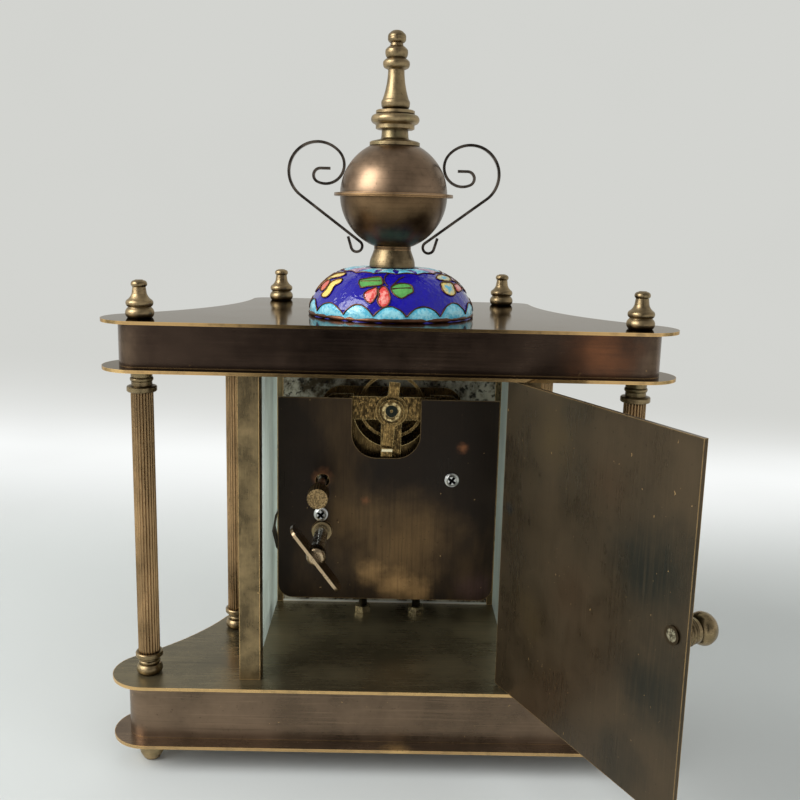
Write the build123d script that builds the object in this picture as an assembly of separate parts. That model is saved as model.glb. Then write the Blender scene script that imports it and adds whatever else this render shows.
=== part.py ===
from build123d import *
import os
from math import acos, atan2, cos, degrees, hypot, pi, radians, sin, sqrt

# Brass mantel clock: two slab boxes held apart by six fluted columns, a glazed movement
# cell between them with a hinged rear door, and an enamelled dome with a handled urn on top.
# Millimetres, +Z up. The dial faces -Y and the door is on the +Y side. While the pieces are
# made, y = 0 lies REAR_LIP inside the slabs' rear edge and "depth" runs from it to the dial;
# write() then moves everything so that the box of the whole clock is centred on the origin.

# ---- driving dimensions -------------------------------------------------------------------
FOOT_HEIGHT = 9.2
FOOT_RADIUS = 4.6
BASE_BOX_HEIGHT = 20.8
COLUMN_HEIGHT = 98.3
CANOPY_BOX_HEIGHT = 15.2
PLATE_THICKNESS = 1.0

PLATE_HALF_WIDTH = 86.4
LOBE_RADIUS = 12.0
REAR_LIP = 8.3
PANEL_DEPTH = 61.0
FRONT_APRON = 21.0
FRONT_HALF_WIDTH = 51.5
FRONT_CORNER_RADIUS = 5.0
SKIRT_INSET = 5.0
SKIRT_WALL = 1.0
SKIRT_CORNER_RADIUS = 1.0

REAR_COLUMN_INSET = 11.8
REAR_COLUMN_SETBACK = 10.7
FRONT_COLUMN_INSET = 10.7
FRONT_COLUMN_SETBACK = 8.8
SIDE_COLUMN_DEPTH = 37.6
SIDE_COLUMN_INSET = 8.3
SHAFT_RADIUS = 3.35
FLUTE_COUNT = 24
FLUTE_DEPTH = 0.24
COLUMN_BASE_HEIGHT = 7.3
CAPITAL_HEIGHT = 7.0
COLLAR_RADIUS = 4.5
TIE_ROD_RADIUS = 1.5
ROD_CLEARANCE = 0.1
FINIAL_HEIGHT = 11.2
FINIAL_RADIUS = 4.4
ROD_SHARE = 0.5
NUT_ACROSS_FLATS = 5.5
NUT_THICKNESS = 2.4

POST_SIZE = 6.5
POST_INNER_X = 38.8
REAR_POST_STANDOFF = 1.8
GLASS_THICKNESS = 2.0
GLASS_SETBACK = 2.2
GROOVE_DEPTH = 1.5
GROOVE_CLEARANCE = 0.1
PANEL_THICKNESS = 1.0
PANEL_SIDE_GAP = 0.05
DIAL_RADIUS = 31.0
DIAL_THICKNESS = 0.8
BEZEL_RADIUS = 36.0
BEZEL_LIP = 1.6
BEZEL_HEIGHT = 6.6
BEZEL_EDGE = 1.4
BEZEL_BULGE = 1.2
BEZEL_SEAT_CLEARANCE = 0.1
CRYSTAL_THICKNESS = 1.0
CRYSTAL_SETBACK = 0.4

DOOR_LAP = 2.75
DOOR_THICKNESS = 1.2
DOOR_END_GAP = 0.5
DOOR_HINGE_INSET = 1.86
DOOR_HINGE_STANDOFF = 3.58
DOOR_PIN_INSET = 2.3
DOOR_PIN_RADIUS = 0.5
DOOR_OPENING = 115.9
PIN_PLAY = 0.05
KNOB_EDGE_INSET = 4.7
KNOB_LENGTH = 11.0
KNOB_RADIUS = 4.0
KNOB_HEIGHT = 49.0
KNOB_SHANK_RADIUS = 1.55
RIVET_RADIUS = 2.4
RIVET_HEIGHT = 0.5

DOME_DEPTH = 28.2
DOME_RADIUS = 26.3
DOME_HEIGHT = 14.9
DOME_WALL = 1.2
DOME_CROWN_SHARE = 0.3
DOME_RIM_SHARE = 0.22
DOME_BULGE = 3.9
PEDESTAL_HEIGHT = 5.9
PEDESTAL_RADIUS = 7.3
PEDESTAL_SEAT = 5.9
GLOBE_RADIUS = 17.0
GLOBE_WALL = 0.8
GLOBE_RIM_RADIUS = 18.85
GLOBE_RIM_HEIGHT = 1.0
NECK_RADIUS = 7.9
NECK_SEAT = 0.3
NECK_SPIGOT = 1.2
NECK_LENGTH = 4.9
SPIRE_COLLAR_RADIUS = 7.6
SPIRE_COLLAR_LENGTH = 5.9
SPIRE_RADIUS = 4.45
SPIRE_LENGTH = 23.7
SPIRE_BORE = 12.0
STRIP_THICKNESS = 0.85
STRIP_WIDTH = 1.8
CENTRE_ROD_RADIUS = 1.5
ROD_END_GAP = 1.0

HANDLE_START_X = 20.1
HANDLE_START_HEIGHT = 45.7
HANDLE_TAIL = 3.1
HANDLE_CURL_RADIUS = 2.2
HANDLE_SCROLL_RADIUS = 5.9
HANDLE_SWEEP_RADIUS = 9.17
HANDLE_DIAGONAL = 23.7
HANDLE_HOOK_RADIUS = 1.8
HANDLE_HOOK_END = 3.7

COVER_STANDOFF = 5.0
WINDOW_OPEN_TOP = 4.0
WINDOW_CORNER_SHARE = 0.72
COVER_THICKNESS = 0.8
COVER_SIDE_GAP = 1.1
COVER_BELOW_DIAL = 37.05
COVER_ABOVE_DIAL = 34.85
COVER_CORNER_RADIUS = 5.0
WINDOW_X = 0.8
WINDOW_HALF_WIDTH = 11.7
WINDOW_ABOVE_DIAL = 14.15
MOTION_SPACE = 3.6
MOVEMENT_PLATE_THICKNESS = 1.2
PLATE_SPACING = 14.0
MOVEMENT_X = -1.1
MOVEMENT_WIDTH = 50.6
MOVEMENT_BELOW_DIAL = 31.15
MOVEMENT_ABOVE_DIAL = 35.45
MOVEMENT_CORNER_RADIUS = 7.0
PILLAR_RADIUS = 2.2
PILLAR_EDGE = 2.3
STUD_SETBACK = 12.6
SHELF_DROP = 4.0
SHELF_REACH = 4.0
STUD_X = (8.2, -11.6)
STUD_RADIUS = 1.5
NUT_TURN = 30.0
FOOT_FLANGE_HALF_WIDTH = 15.0

# Places in the movement: x and height, both from the dial's centre.
WINDING_OFFSET = (22.4, -12.15)
SETTING_OFFSET = (22.4, 5.75)
RIGHT_SCREW_OFFSET = (22.8, -6.25)
LEFT_SCREW_OFFSET = (-22.1, 6.95)
BALANCE_OFFSET = (-0.9, 30.15)
ESCAPE_OFFSET = (-0.9, 14.05)
LEVER_OFFSET = (-0.9, 21.85)
SPRING_OFFSET = (25.0, -15.45)
SCREW_HEAD_RADIUS = 2.45
SCREW_HEAD_HEIGHT = 1.6
SCREW_HOLE_RADIUS = 1.6
SCREW_LENGTH = 3.4
SCREW_POST_RADIUS = 2.2
WINDING_BUSH_RADIUS = 3.4
PIVOT_RADIUS = 0.5
PIVOT_PLAY = 0.05
SHAFT_EXPOSED = 22.0
SHAKE = 0.1
ARBOR_RADIUS = 0.8
SLIM_ARBOR_RADIUS = 0.6
PINION_OVERLAP = 0.3
HAND_THICKNESS = 0.5
PIPE_HOLE_CLEARANCE = 0.4

WINDING_RADIUS = 2.3
WINDING_CORE_RADIUS = 1.8
WINDING_HUB_RADIUS = 3.0
WINDING_FRONT_PIVOT = 1.0
WINDING_BUSH_LIP = 0.8
CLICK_OFFSET = (6.6, 1.2)
CLICK_NOSE = (3.1, 4.6)
CLICK_EYE_RADIUS = 1.5
CLICK_PIN_RADIUS = 0.6
RATCHET_THICKNESS = 0.7
KEY_HUB_RADIUS = 3.0
KEY_HUB_LENGTH = 5.2
KEY_LENGTH = 25.6
KEY_WING_DEPTH = 8.0
KEY_WING_THICKNESS = 1.0
KEY_CORNER_RADIUS = 3.0
KEY_ANGLE = 127.0
KEY_OVERHANG = 2.0

BRIDGE_THICKNESS = 1.2
BRIDGE_HALF_SPAN = 17.0
BRIDGE_WIDTH = 8.0
BRIDGE_RISE = 0.7
BRIDGE_LEG = 16.0
BRIDGE_LEG_WIDTH = 7.0
BOSS_RADIUS = 4.25
BOSS_LENGTH = 2.6
BOSS_CUP_RADIUS = 2.5
BOSS_CUP_DEPTH = 1.0
REGULATOR_WIDTH = 3.7
REGULATOR_RING = 1.2
REGULATOR_THICKNESS = 0.6
REGULATOR_UP = 10.0
REGULATOR_DOWN = 13.5
REGULATOR_TAIL = 4.0
REGULATOR_STEP = 1.6
REGULATOR_ANGLE = 5.4
ROLLER_RADIUS = 1.6
ROLLER_THICKNESS = 0.6
STAFF_RADIUS = 0.7
BALANCE_HUB_RADIUS = 2.0
BALANCE_THICKNESS = 1.5
BALANCE_ARM = 1.6
BALANCE_WELL = 13.2
HAIRSPRING_TURNS = 5
HAIRSPRING_INNER = 1.3
HAIRSPRING_OUTER = 6.5
HAIRSPRING_STRIP = 0.2
HAIRSPRING_WIDTH = 0.8
HAIRSPRING_GAP = 1.4
PALLET_SPAN = 3.8
PALLET_PIN_RADIUS = 0.4
FORK_WIDTH = 1.2
FORK_THICKNESS = 0.6
FORK_GAP = 2.2

SETTING_RADIUS = 1.5
SETTING_KNOB_RADIUS = 3.45
SETTING_KNOB_LENGTH = 7.5
SETTING_HUB_RADIUS = 2.6
SETTING_HUB_LENGTH = 2.0
SETTING_CAP = 2.0
SETTING_HOLE_CLEARANCE = 0.9
KNURL_COUNT = 24
KNURL_SHARE = 0.94

GREAT_TEETH = 56
GREAT_MODULE = 0.55
INTERMEDIATE_TEETH = 48
INTERMEDIATE_MODULE = 0.5
CENTRE_TEETH = 60
CENTRE_MODULE = 0.4
THIRD_TEETH = 60
THIRD_MODULE = 0.35
PINION_LEAVES = 8
CANNON_TEETH = 12
MINUTE_WHEEL_TEETH = 36
MOTION_MODULE = 0.5
MINUTE_PINION_TEETH = 10
HOUR_WHEEL_TEETH = 40
SETTING_TEETH = 10
ESCAPE_TEETH = 15
ESCAPE_RADIUS = 5.5
ESCAPE_THICKNESS = 0.7
RATCHET_TEETH = 18
RATCHET_RADIUS = 5.0
BALANCE_RADIUS = 11.6
BALANCE_RIM = 1.0
SPRING_TURNS = 6.25
SPRING_OUTER_RADIUS = 16.0
SPRING_WIDTH = 6.5
SPRING_STRIP = 0.45
HOUR_PIPE_RADIUS = 2.3
CANNON_RADIUS = 1.6
CENTRE_ARBOR_RADIUS = 0.9
CENTRE_SHOULDER_RADIUS = 1.3
WHEEL_THICKNESS = 1.0
MINUTE_HAND_LENGTH = 25.5
HOUR_HAND_LENGTH = 17.5
MINUTE_HAND_WIDTH = 3.0
HOUR_HAND_WIDTH = 4.2
MINUTE_HAND_ANGLE = -60.0
HOUR_HAND_ANGLE = 55.0
HAND_STEM = 1.0
HAND_EYE = 1.4

# ---- values worked out from them ------------------------------------------------------------
FRONT_DEPTH = PANEL_DEPTH + FRONT_APRON
DECK = FOOT_HEIGHT + BASE_BOX_HEIGHT
CEILING = DECK + COLUMN_HEIGHT
ROOF = CEILING + CANOPY_BOX_HEIGHT
LOBE_X = PLATE_HALF_WIDTH - LOBE_RADIUS
LOBE_DEPTH = LOBE_RADIUS - REAR_LIP
CORNER_DEPTH = FRONT_DEPTH - FRONT_CORNER_RADIUS
REAR_COLUMN_X = PLATE_HALF_WIDTH - REAR_COLUMN_INSET
FRONT_COLUMN_X = FRONT_HALF_WIDTH - FRONT_COLUMN_INSET
FRONT_COLUMN_DEPTH = FRONT_DEPTH - FRONT_COLUMN_SETBACK
POST_OUTER_X = POST_INNER_X + POST_SIZE
REAR_POST_DEPTH = POST_SIZE - REAR_POST_STANDOFF
GLASS_INNER_X = POST_INNER_X + GLASS_SETBACK
DOOR_WIDTH = 2 * POST_INNER_X + DOOR_LAP
DOOR_HINGE_X = DOOR_HINGE_INSET - POST_INNER_X
COVER_HALF_WIDTH = POST_INNER_X - COVER_SIDE_GAP
DIAL_HEIGHT = COLUMN_HEIGHT / 2
DIAL_FACE = PANEL_DEPTH + PANEL_THICKNESS + DIAL_THICKNESS
DIAL_CENTRE = (0.0, DIAL_HEIGHT)


def from_dial(offset):
    """A place in the movement: x, and the height above the deck."""
    return (offset[0], DIAL_HEIGHT + offset[1])


WINDING_ARBOR = from_dial(WINDING_OFFSET)
SETTING_ARBOR = from_dial(SETTING_OFFSET)
COVER_SCREWS = (from_dial(RIGHT_SCREW_OFFSET), from_dial(LEFT_SCREW_OFFSET))
BALANCE_STAFF = from_dial(BALANCE_OFFSET)
ESCAPE_ARBOR = from_dial(ESCAPE_OFFSET)
LEVER_ARBOR = from_dial(LEVER_OFFSET)
SPRING_CENTRE = from_dial(SPRING_OFFSET)
MOVEMENT_BOTTOM = DIAL_HEIGHT - MOVEMENT_BELOW_DIAL
MOVEMENT_TOP = DIAL_HEIGHT + MOVEMENT_ABOVE_DIAL
COVER_BOTTOM = DIAL_HEIGHT - COVER_BELOW_DIAL
COVER_TOP = DIAL_HEIGHT + COVER_ABOVE_DIAL
WINDOW_BOTTOM = DIAL_HEIGHT + WINDOW_ABOVE_DIAL
MOTION_DEPTH = PANEL_DEPTH - MOTION_SPACE
FRONT_PLATE_DEPTH = MOTION_DEPTH - MOVEMENT_PLATE_THICKNESS
TRAIN_DEPTH = FRONT_PLATE_DEPTH - PLATE_SPACING
MOVEMENT_DEPTH = TRAIN_DEPTH - MOVEMENT_PLATE_THICKNESS
COVER_DEPTH = MOVEMENT_DEPTH - COVER_STANDOFF
STUD_DEPTH = MOVEMENT_DEPTH + STUD_SETBACK
SHOULDER_START = TRAIN_DEPTH + SHAKE
SHOULDER_END = FRONT_PLATE_DEPTH - SHAKE
GREAT_DEPTH = TRAIN_DEPTH + PLATE_SPACING * 0.571
RATCHET_DEPTH = GREAT_DEPTH + WHEEL_THICKNESS + SHAKE
INTERMEDIATE_DEPTH = RATCHET_DEPTH + RATCHET_THICKNESS + 4 * SHAKE
CENTRE_WHEEL_DEPTH = INTERMEDIATE_DEPTH + WHEEL_THICKNESS + 9 * SHAKE
THIRD_DEPTH = TRAIN_DEPTH + PLATE_SPACING * 0.343
ESCAPE_DEPTH = TRAIN_DEPTH + PLATE_SPACING * 0.643
BALANCE_DEPTH = TRAIN_DEPTH + PLATE_SPACING * 0.4
SPRING_DEPTH = TRAIN_DEPTH + 8 * SHAKE
CANNON_DEPTH = MOTION_DEPTH + 5 * SHAKE
HOUR_WHEEL_DEPTH = CANNON_DEPTH + WHEEL_THICKNESS + 4 * SHAKE
HOUR_HAND_DEPTH = DIAL_FACE + 10 * SHAKE
MINUTE_HAND_DEPTH = HOUR_HAND_DEPTH + HAND_THICKNESS + 9 * SHAKE
CLICK_PLACE = (WINDING_ARBOR[0] + CLICK_OFFSET[0], WINDING_ARBOR[1] + CLICK_OFFSET[1])
SHELF_HEIGHT = MOVEMENT_BOTTOM - SHELF_DROP
BRIDGE_DEPTH = MOVEMENT_DEPTH - BRIDGE_THICKNESS
KNOB_DEPTH = COVER_DEPTH - SHAFT_EXPOSED


# ---- general helpers ------------------------------------------------------------------------
def flank_radius():
    """Radius of the hollow side that is tangent to the rear lobe and to the front corner."""
    run = CORNER_DEPTH - LOBE_DEPTH
    step = LOBE_X - FRONT_HALF_WIDTH
    return (run**2 + step**2 - LOBE_RADIUS**2) / (2 * (LOBE_RADIUS + step))


def outline(inset=0.0):
    """Plan of every slab: straight rear edge, round rear lobes, hollow flanks, square front."""
    flank = flank_radius()
    flank_x = FRONT_HALF_WIDTH + flank
    lobe = LOBE_RADIUS - inset
    corner = max(FRONT_CORNER_RADIUS - inset, SKIRT_CORNER_RADIUS)
    corner_y = -(FRONT_DEPTH - inset - corner)
    reach = hypot(flank_x - LOBE_X, CORNER_DEPTH - LOBE_DEPTH)
    to_flank = ((flank_x - LOBE_X) / reach, -(CORNER_DEPTH - LOBE_DEPTH) / reach)
    turn = atan2(to_flank[1], to_flank[0])
    middle = (pi / 2 + turn) / 2
    hollow = flank + inset
    bend = -turn / 2
    top = (LOBE_X, -LOBE_DEPTH + lobe)
    side = (LOBE_X + lobe * cos(middle), -LOBE_DEPTH + lobe * sin(middle))
    join = (LOBE_X + lobe * to_flank[0], -LOBE_DEPTH + lobe * to_flank[1])
    waist = (flank_x - hollow * cos(bend), -CORNER_DEPTH + hollow * sin(bend))
    heel = (flank_x - sqrt(hollow**2 - (corner_y + CORNER_DEPTH) ** 2), corner_y)
    toe = (heel[0] - corner, corner_y - corner)
    edges = Curve() + Line((0, top[1]), top)
    edges += ThreePointArc(top, side, join)
    edges += ThreePointArc(join, waist, heel)
    edges += RadiusArc(heel, toe, corner)
    edges += Line(toe, (0, toe[1]))
    edges += mirror(edges, about=Plane.YZ)
    return make_face(edges)


def slab(bottom):
    return Pos(0, 0, bottom) * extrude(outline(), amount=PLATE_THICKNESS)


def skirt(bottom, height):
    wall = outline(SKIRT_INSET) - outline(SKIRT_INSET + SKIRT_WALL)
    return Pos(0, 0, bottom) * extrude(wall, amount=height)


def turned(profile, bore=0.0):
    """Lathe work about Z. A profile point is (radius, height) or (radius, height, bulge)."""
    first, last = profile[0][1], profile[-1][1]
    edges = Curve() + Line((bore, first), profile[0][:2])
    for start, end in zip(profile, profile[1:]):
        if len(end) == 3:
            edges += SagittaArc(start[:2], end[:2], -end[2])
        else:
            edges += Line(start[:2], end[:2])
    edges += Line(profile[-1][:2], (bore, last))
    edges += Line((bore, last), (bore, first))
    return revolve(Plane.XZ * make_face(edges), Axis.Z)


def lathe_work(shares, radius, height, bore=0.0):
    """turned(), with its profile given as shares of a radius and a height."""
    profile = [(r * radius, h * height, *(b * radius for b in bulge)) for r, h, *bulge in shares]
    return turned(profile, bore)


def along_depth(shape, x, depth, height):
    """Lay lathe work down, its own +Z pointing towards the dial."""
    return Pos(x, -depth, DECK + height) * Rotation(90, 0, 0) * shape


def upright(sketch, depth, thickness):
    """A flat piece parallel to the dial, drawn in x and height above the deck."""
    return Pos(0, -depth, DECK) * extrude(Plane.XZ * sketch, amount=thickness)


def rod(centre, depth, length, radius):
    return upright(Pos(*centre) * Circle(radius), depth, length)


def block(x0, x1, depth0, depth1, z0, z1):
    box = Box(x1 - x0, depth1 - depth0, z1 - z0)
    return Pos((x0 + x1) / 2, -(depth0 + depth1) / 2, (z0 + z1) / 2) * box


def mirrored(shape):
    return mirror(shape, about=Plane.YZ)


def side_column_x():
    flank = flank_radius()
    drop = CORNER_DEPTH - SIDE_COLUMN_DEPTH
    return FRONT_HALF_WIDTH + flank - sqrt((flank + SIDE_COLUMN_INSET) ** 2 - drop**2)


def column_places():
    rear = [(REAR_COLUMN_X, REAR_LIP - REAR_COLUMN_SETBACK)]
    side = [(side_column_x(), -SIDE_COLUMN_DEPTH)]
    front = [(FRONT_COLUMN_X, -FRONT_COLUMN_DEPTH)]
    return [(sign * x, y) for x, y in rear + side + front for sign in (1, -1)]


def corner_places():
    return [place for place in column_places() if place[1] != -SIDE_COLUMN_DEPTH]


def hinge_place():
    return (DOOR_HINGE_X, DOOR_HINGE_STANDOFF)


def depth_shift():
    """How far y = 0 lies from the middle of the clock, door included."""
    swing = DOOR_OPENING - 90
    tip = (DOOR_WIDTH - DOOR_PIN_INSET) * cos(radians(swing))
    corner = DOOR_THICKNESS / 2 * sin(radians(swing))
    return (FRONT_DEPTH - (DOOR_HINGE_STANDOFF + tip + corner)) / 2


def write(name, *solids):
    shift = Pos(0, depth_shift(), 0)
    export_step(Compound(children=[shift * s for item in solids for s in item.solids()]),
                f"parts/{name}.step")


# ---- case: slabs, skirts, feet --------------------------------------------------------------
def rod_holes(shape, places, bottom):
    for x, y in places:
        shape -= Pos(x, y, bottom) * Cylinder(TIE_ROD_RADIUS + ROD_CLEARANCE, 3 * PLATE_THICKNESS)
    return shape


def hinge_hole(shape, bottom):
    x, y = hinge_place()
    return shape - Pos(x, y, bottom) * Cylinder(DOOR_PIN_RADIUS + PIN_PLAY, 3 * PLATE_THICKNESS)


def base_bottom_plate():
    return rod_holes(slab(FOOT_HEIGHT), corner_places(), FOOT_HEIGHT)


def base_top_plate():
    plate = rod_holes(slab(DECK - PLATE_THICKNESS), column_places(), DECK)
    for x in STUD_X:
        plate -= Pos(x, -STUD_DEPTH, DECK) * Cylinder(STUD_RADIUS + ROD_CLEARANCE, 3 * PLATE_THICKNESS)
    return hinge_hole(plate, DECK)


def canopy_bottom_plate():
    return hinge_hole(rod_holes(slab(CEILING), column_places(), CEILING), CEILING)


def canopy_top_plate():
    plate = rod_holes(slab(ROOF - PLATE_THICKNESS), corner_places(), ROOF)
    return plate - on_roof(Cylinder(CENTRE_ROD_RADIUS + ROD_CLEARANCE, 3 * PLATE_THICKNESS), 0)


def box_skirt(bottom, height):
    return skirt(bottom + PLATE_THICKNESS, height - 2 * PLATE_THICKNESS)


def feet():
    shares = ((0.3, 0), (0.66, 0.16, 0.08), (0.82, 0.48, 0.07), (0.8, 0.54), (0.98, 0.6, 0.03),
              (0.98, 0.92, 0.02), (0.9, 1))
    foot = lathe_work(shares, FOOT_RADIUS, FOOT_HEIGHT)
    return [Pos(x, y, 0) * foot for x, y in corner_places()]


# ---- columns, rods and finials ----------------------------------------------------------------
def fluted(radius, bore, height):
    step = 2 * pi / FLUTE_COUNT
    points = [(radius * cos(k * step), radius * sin(k * step)) for k in range(FLUTE_COUNT)]
    edges = Curve()
    for start, end in zip(points, points[1:] + points[:1]):
        edges += SagittaArc(start, end, FLUTE_DEPTH)
    return extrude(make_face(edges) - Circle(bore), amount=height)


ROD_BORE = TIE_ROD_RADIUS + ROD_CLEARANCE


def column_shafts():
    height = COLUMN_HEIGHT - COLUMN_BASE_HEIGHT - CAPITAL_HEIGHT
    shaft = fluted(SHAFT_RADIUS, ROD_BORE, height)
    return [Pos(x, y, DECK + COLUMN_BASE_HEIGHT) * shaft for x, y in column_places()]


def column_bases():
    shares = ((0.74, 0), (0.76, 0.44, 0.16), (0.66, 0.47), (0.66, 0.65, 0.09), (0.64, 0.76), (0.88, 0.78),
              (0.94, 0.82), (0.94, 0.96), (0.9, 1))
    ring = lathe_work(shares, COLLAR_RADIUS, COLUMN_BASE_HEIGHT, ROD_BORE)
    return [Pos(x, y, DECK) * ring for x, y in column_places()]


def column_capitals():
    shares = ((0.95, 0), (1, 0.04), (1, 0.2), (0.95, 0.24), (0.7, 0.27), (0.69, 0.44), (0.7, 0.64, 0.08),
              (0.71, 0.68), (0.8, 0.86, -0.03), (0.94, 0.93, 0.02), (0.94, 1))
    ring = lathe_work(shares, COLLAR_RADIUS, CAPITAL_HEIGHT, ROD_BORE)
    return [Pos(x, y, CEILING - CAPITAL_HEIGHT) * ring for x, y in column_places()]


def tie_rods():
    rods = []
    for x, y in column_places():
        corner = (x, y) in corner_places()
        low = FOOT_HEIGHT if corner else DECK - PLATE_THICKNESS
        high = ROOF + FINIAL_HEIGHT * ROD_SHARE if corner else CEILING + PLATE_THICKNESS
        rods.append(Pos(x, y, low) * extrude(Circle(TIE_ROD_RADIUS), amount=high - low))
    return rods


def hex_nut(bore):
    flat = RegularPolygon(NUT_ACROSS_FLATS / 2, 6, major_radius=False)
    return extrude(flat - Circle(bore), amount=NUT_THICKNESS)


def corner_finials():
    shares = ((0.8, 0), (0.8, 0.265, 0.16), (0.76, 0.29), (0.83, 0.47, 0.12), (0.5, 0.64, -0.05),
              (0.44, 0.81), (0.48, 0.83), (0.54, 0.89, 0.02), (0.3, 0.985, 0.07), (0.26, 1))
    solid = lathe_work(shares, FINIAL_RADIUS, FINIAL_HEIGHT)
    solid -= extrude(Circle(ROD_BORE), amount=FINIAL_HEIGHT * ROD_SHARE)
    return [Pos(x, y, ROOF) * solid for x, y in corner_places()]


# ---- movement cell: posts, glass, front panel, dial -----------------------------------------
def groove(depth0, depth1):
    slot = GROOVE_CLEARANCE / 2
    return block(GLASS_INNER_X - slot, GLASS_INNER_X + GLASS_THICKNESS + slot,
                 depth0, depth1, DECK, CEILING)


def rear_posts():
    post = block(POST_INNER_X, POST_OUTER_X, -REAR_POST_STANDOFF, REAR_POST_DEPTH, DECK, CEILING)
    post -= groove(REAR_POST_DEPTH - GROOVE_DEPTH, REAR_POST_DEPTH + 1)
    return [post, mirrored(post)]


def front_posts():
    far = PANEL_DEPTH + POST_SIZE
    post = block(POST_INNER_X, POST_OUTER_X, PANEL_DEPTH, far, DECK, CEILING)
    post -= groove(PANEL_DEPTH - 1, PANEL_DEPTH + GROOVE_DEPTH)
    return [post, mirrored(post)]


def side_glass():
    reach = GROOVE_DEPTH - GROOVE_CLEARANCE
    return block(GLASS_INNER_X, GLASS_INNER_X + GLASS_THICKNESS, REAR_POST_DEPTH - reach,
                 PANEL_DEPTH + reach, DECK, CEILING)


def front_panel():
    half = POST_INNER_X - PANEL_SIDE_GAP
    sheet = Pos(0, COLUMN_HEIGHT / 2) * Rectangle(2 * half, COLUMN_HEIGHT)
    sheet -= Pos(*DIAL_CENTRE) * Circle(HOUR_PIPE_RADIUS + PIPE_HOLE_CLEARANCE)
    sheet -= Pos(*minute_arbor()) * Circle(PIVOT_RADIUS + PIVOT_PLAY)
    sheet -= Pos(*SETTING_ARBOR) * Circle(PIVOT_RADIUS + PIVOT_PLAY)
    return upright(sheet, PANEL_DEPTH, PANEL_THICKNESS)


def dial():
    disc = Circle(DIAL_RADIUS) - Circle(HOUR_PIPE_RADIUS + PIPE_HOLE_CLEARANCE)
    return upright(Pos(*DIAL_CENTRE) * disc, PANEL_DEPTH + PANEL_THICKNESS, DIAL_THICKNESS)


def bezel():
    seat = DIAL_RADIUS + BEZEL_SEAT_CLEARANCE
    lip = DIAL_RADIUS - BEZEL_LIP
    flank = BEZEL_HEIGHT * 0.3
    ledge = BEZEL_HEIGHT - CRYSTAL_THICKNESS - CRYSTAL_SETBACK
    edges = Polyline((seat, 0), (BEZEL_RADIUS, 0), (BEZEL_RADIUS, flank))
    edges += SagittaArc((BEZEL_RADIUS, flank), (lip + BEZEL_EDGE, BEZEL_HEIGHT), -BEZEL_BULGE)
    edges += Polyline((lip + BEZEL_EDGE, BEZEL_HEIGHT), (lip, BEZEL_HEIGHT), (lip, ledge))
    edges += Polyline((lip, ledge), (seat, ledge), (seat, 0))
    ring = revolve(Plane.XZ * make_face(edges), Axis.Z)
    return along_depth(ring, 0, PANEL_DEPTH + PANEL_THICKNESS, DIAL_HEIGHT)


def crystal():
    top = BEZEL_HEIGHT - CRYSTAL_SETBACK - CRYSTAL_THICKNESS
    disc = turned([(DIAL_RADIUS, top - CRYSTAL_THICKNESS), (DIAL_RADIUS, top)])
    return along_depth(disc, 0, PANEL_DEPTH + PANEL_THICKNESS, DIAL_HEIGHT)


# ---- roof ornament --------------------------------------------------------------------------
def on_roof(shape, height):
    return Pos(0, -DOME_DEPTH, ROOF + height) * shape


ORNAMENT_BORE = CENTRE_ROD_RADIUS + ROD_CLEARANCE
GLOBE_HEIGHT = DOME_HEIGHT + PEDESTAL_HEIGHT + GLOBE_RADIUS
NECK_HEIGHT = GLOBE_HEIGHT + sqrt(GLOBE_RADIUS**2 - (NECK_RADIUS - NECK_SEAT) ** 2)
COLLAR_HEIGHT = NECK_HEIGHT + NECK_LENGTH
SPIRE_HEIGHT = COLLAR_HEIGHT + SPIRE_COLLAR_LENGTH


def dome():
    crown, low, wall = DOME_RADIUS * DOME_CROWN_SHARE, DOME_HEIGHT * DOME_RIM_SHARE, DOME_WALL
    outer = [(DOME_RADIUS, 0), (DOME_RADIUS * 0.99, low), (crown, DOME_HEIGHT, DOME_BULGE)]
    inner = [(DOME_RADIUS - wall, 0), (DOME_RADIUS * 0.99 - wall, low - wall / 3),
             (crown, DOME_HEIGHT - wall, DOME_BULGE * 0.9)]
    shell = turned(outer) - turned(inner)
    return on_roof(shell - Cylinder(ORNAMENT_BORE, 4 * DOME_HEIGHT), 0)


def pedestal():
    shares = ((0.96, 0), (1, 0.08), (1, 0.2), (0.9, 0.68, 0.02), (PEDESTAL_SEAT / PEDESTAL_RADIUS, 1))
    return on_roof(lathe_work(shares, PEDESTAL_RADIUS, PEDESTAL_HEIGHT, ORNAMENT_BORE), DOME_HEIGHT)


def globe_half(start_angle, end_angle, rim_low, rim_high):
    """Half of the hollow globe with its flat joint ring, turned about the ball's centre."""
    inner = GLOBE_RADIUS - GLOBE_WALL
    a0, a1 = radians(start_angle), radians(end_angle)
    middle = (a0 + a1) / 2
    arcs = []
    for r in (GLOBE_RADIUS, inner):
        ends = [(r * cos(a), r * sin(a)) for a in (a0, middle, a1)]
        arcs.append(ends)
    (p0, pm, p1), (q0, qm, q1) = arcs
    face = make_face(ThreePointArc(p0, pm, p1) + Line(p1, q1) + ThreePointArc(q1, qm, q0) + Line(q0, p0))
    shell = revolve(Plane.XZ * face, Axis.Z)
    ring = turned([(GLOBE_RIM_RADIUS, rim_low), (GLOBE_RIM_RADIUS, rim_high)], inner)
    return shell + ring


def globe_lower():
    angle = degrees(acos(PEDESTAL_SEAT / GLOBE_RADIUS))
    seat = -GLOBE_RADIUS * sin(radians(angle)) + GLOBE_WALL
    pole = turned([(PEDESTAL_SEAT, -GLOBE_RADIUS), (PEDESTAL_SEAT, seat)], ORNAMENT_BORE)
    bowl = globe_half(-angle, 0, -GLOBE_RIM_HEIGHT / 2, 0)
    return on_roof(bowl + pole, GLOBE_HEIGHT)


def globe_upper():
    angle = degrees(acos((NECK_RADIUS - NECK_SEAT) / GLOBE_RADIUS))
    return on_roof(globe_half(0, angle, 0, GLOBE_RIM_HEIGHT / 2), GLOBE_HEIGHT)


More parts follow.
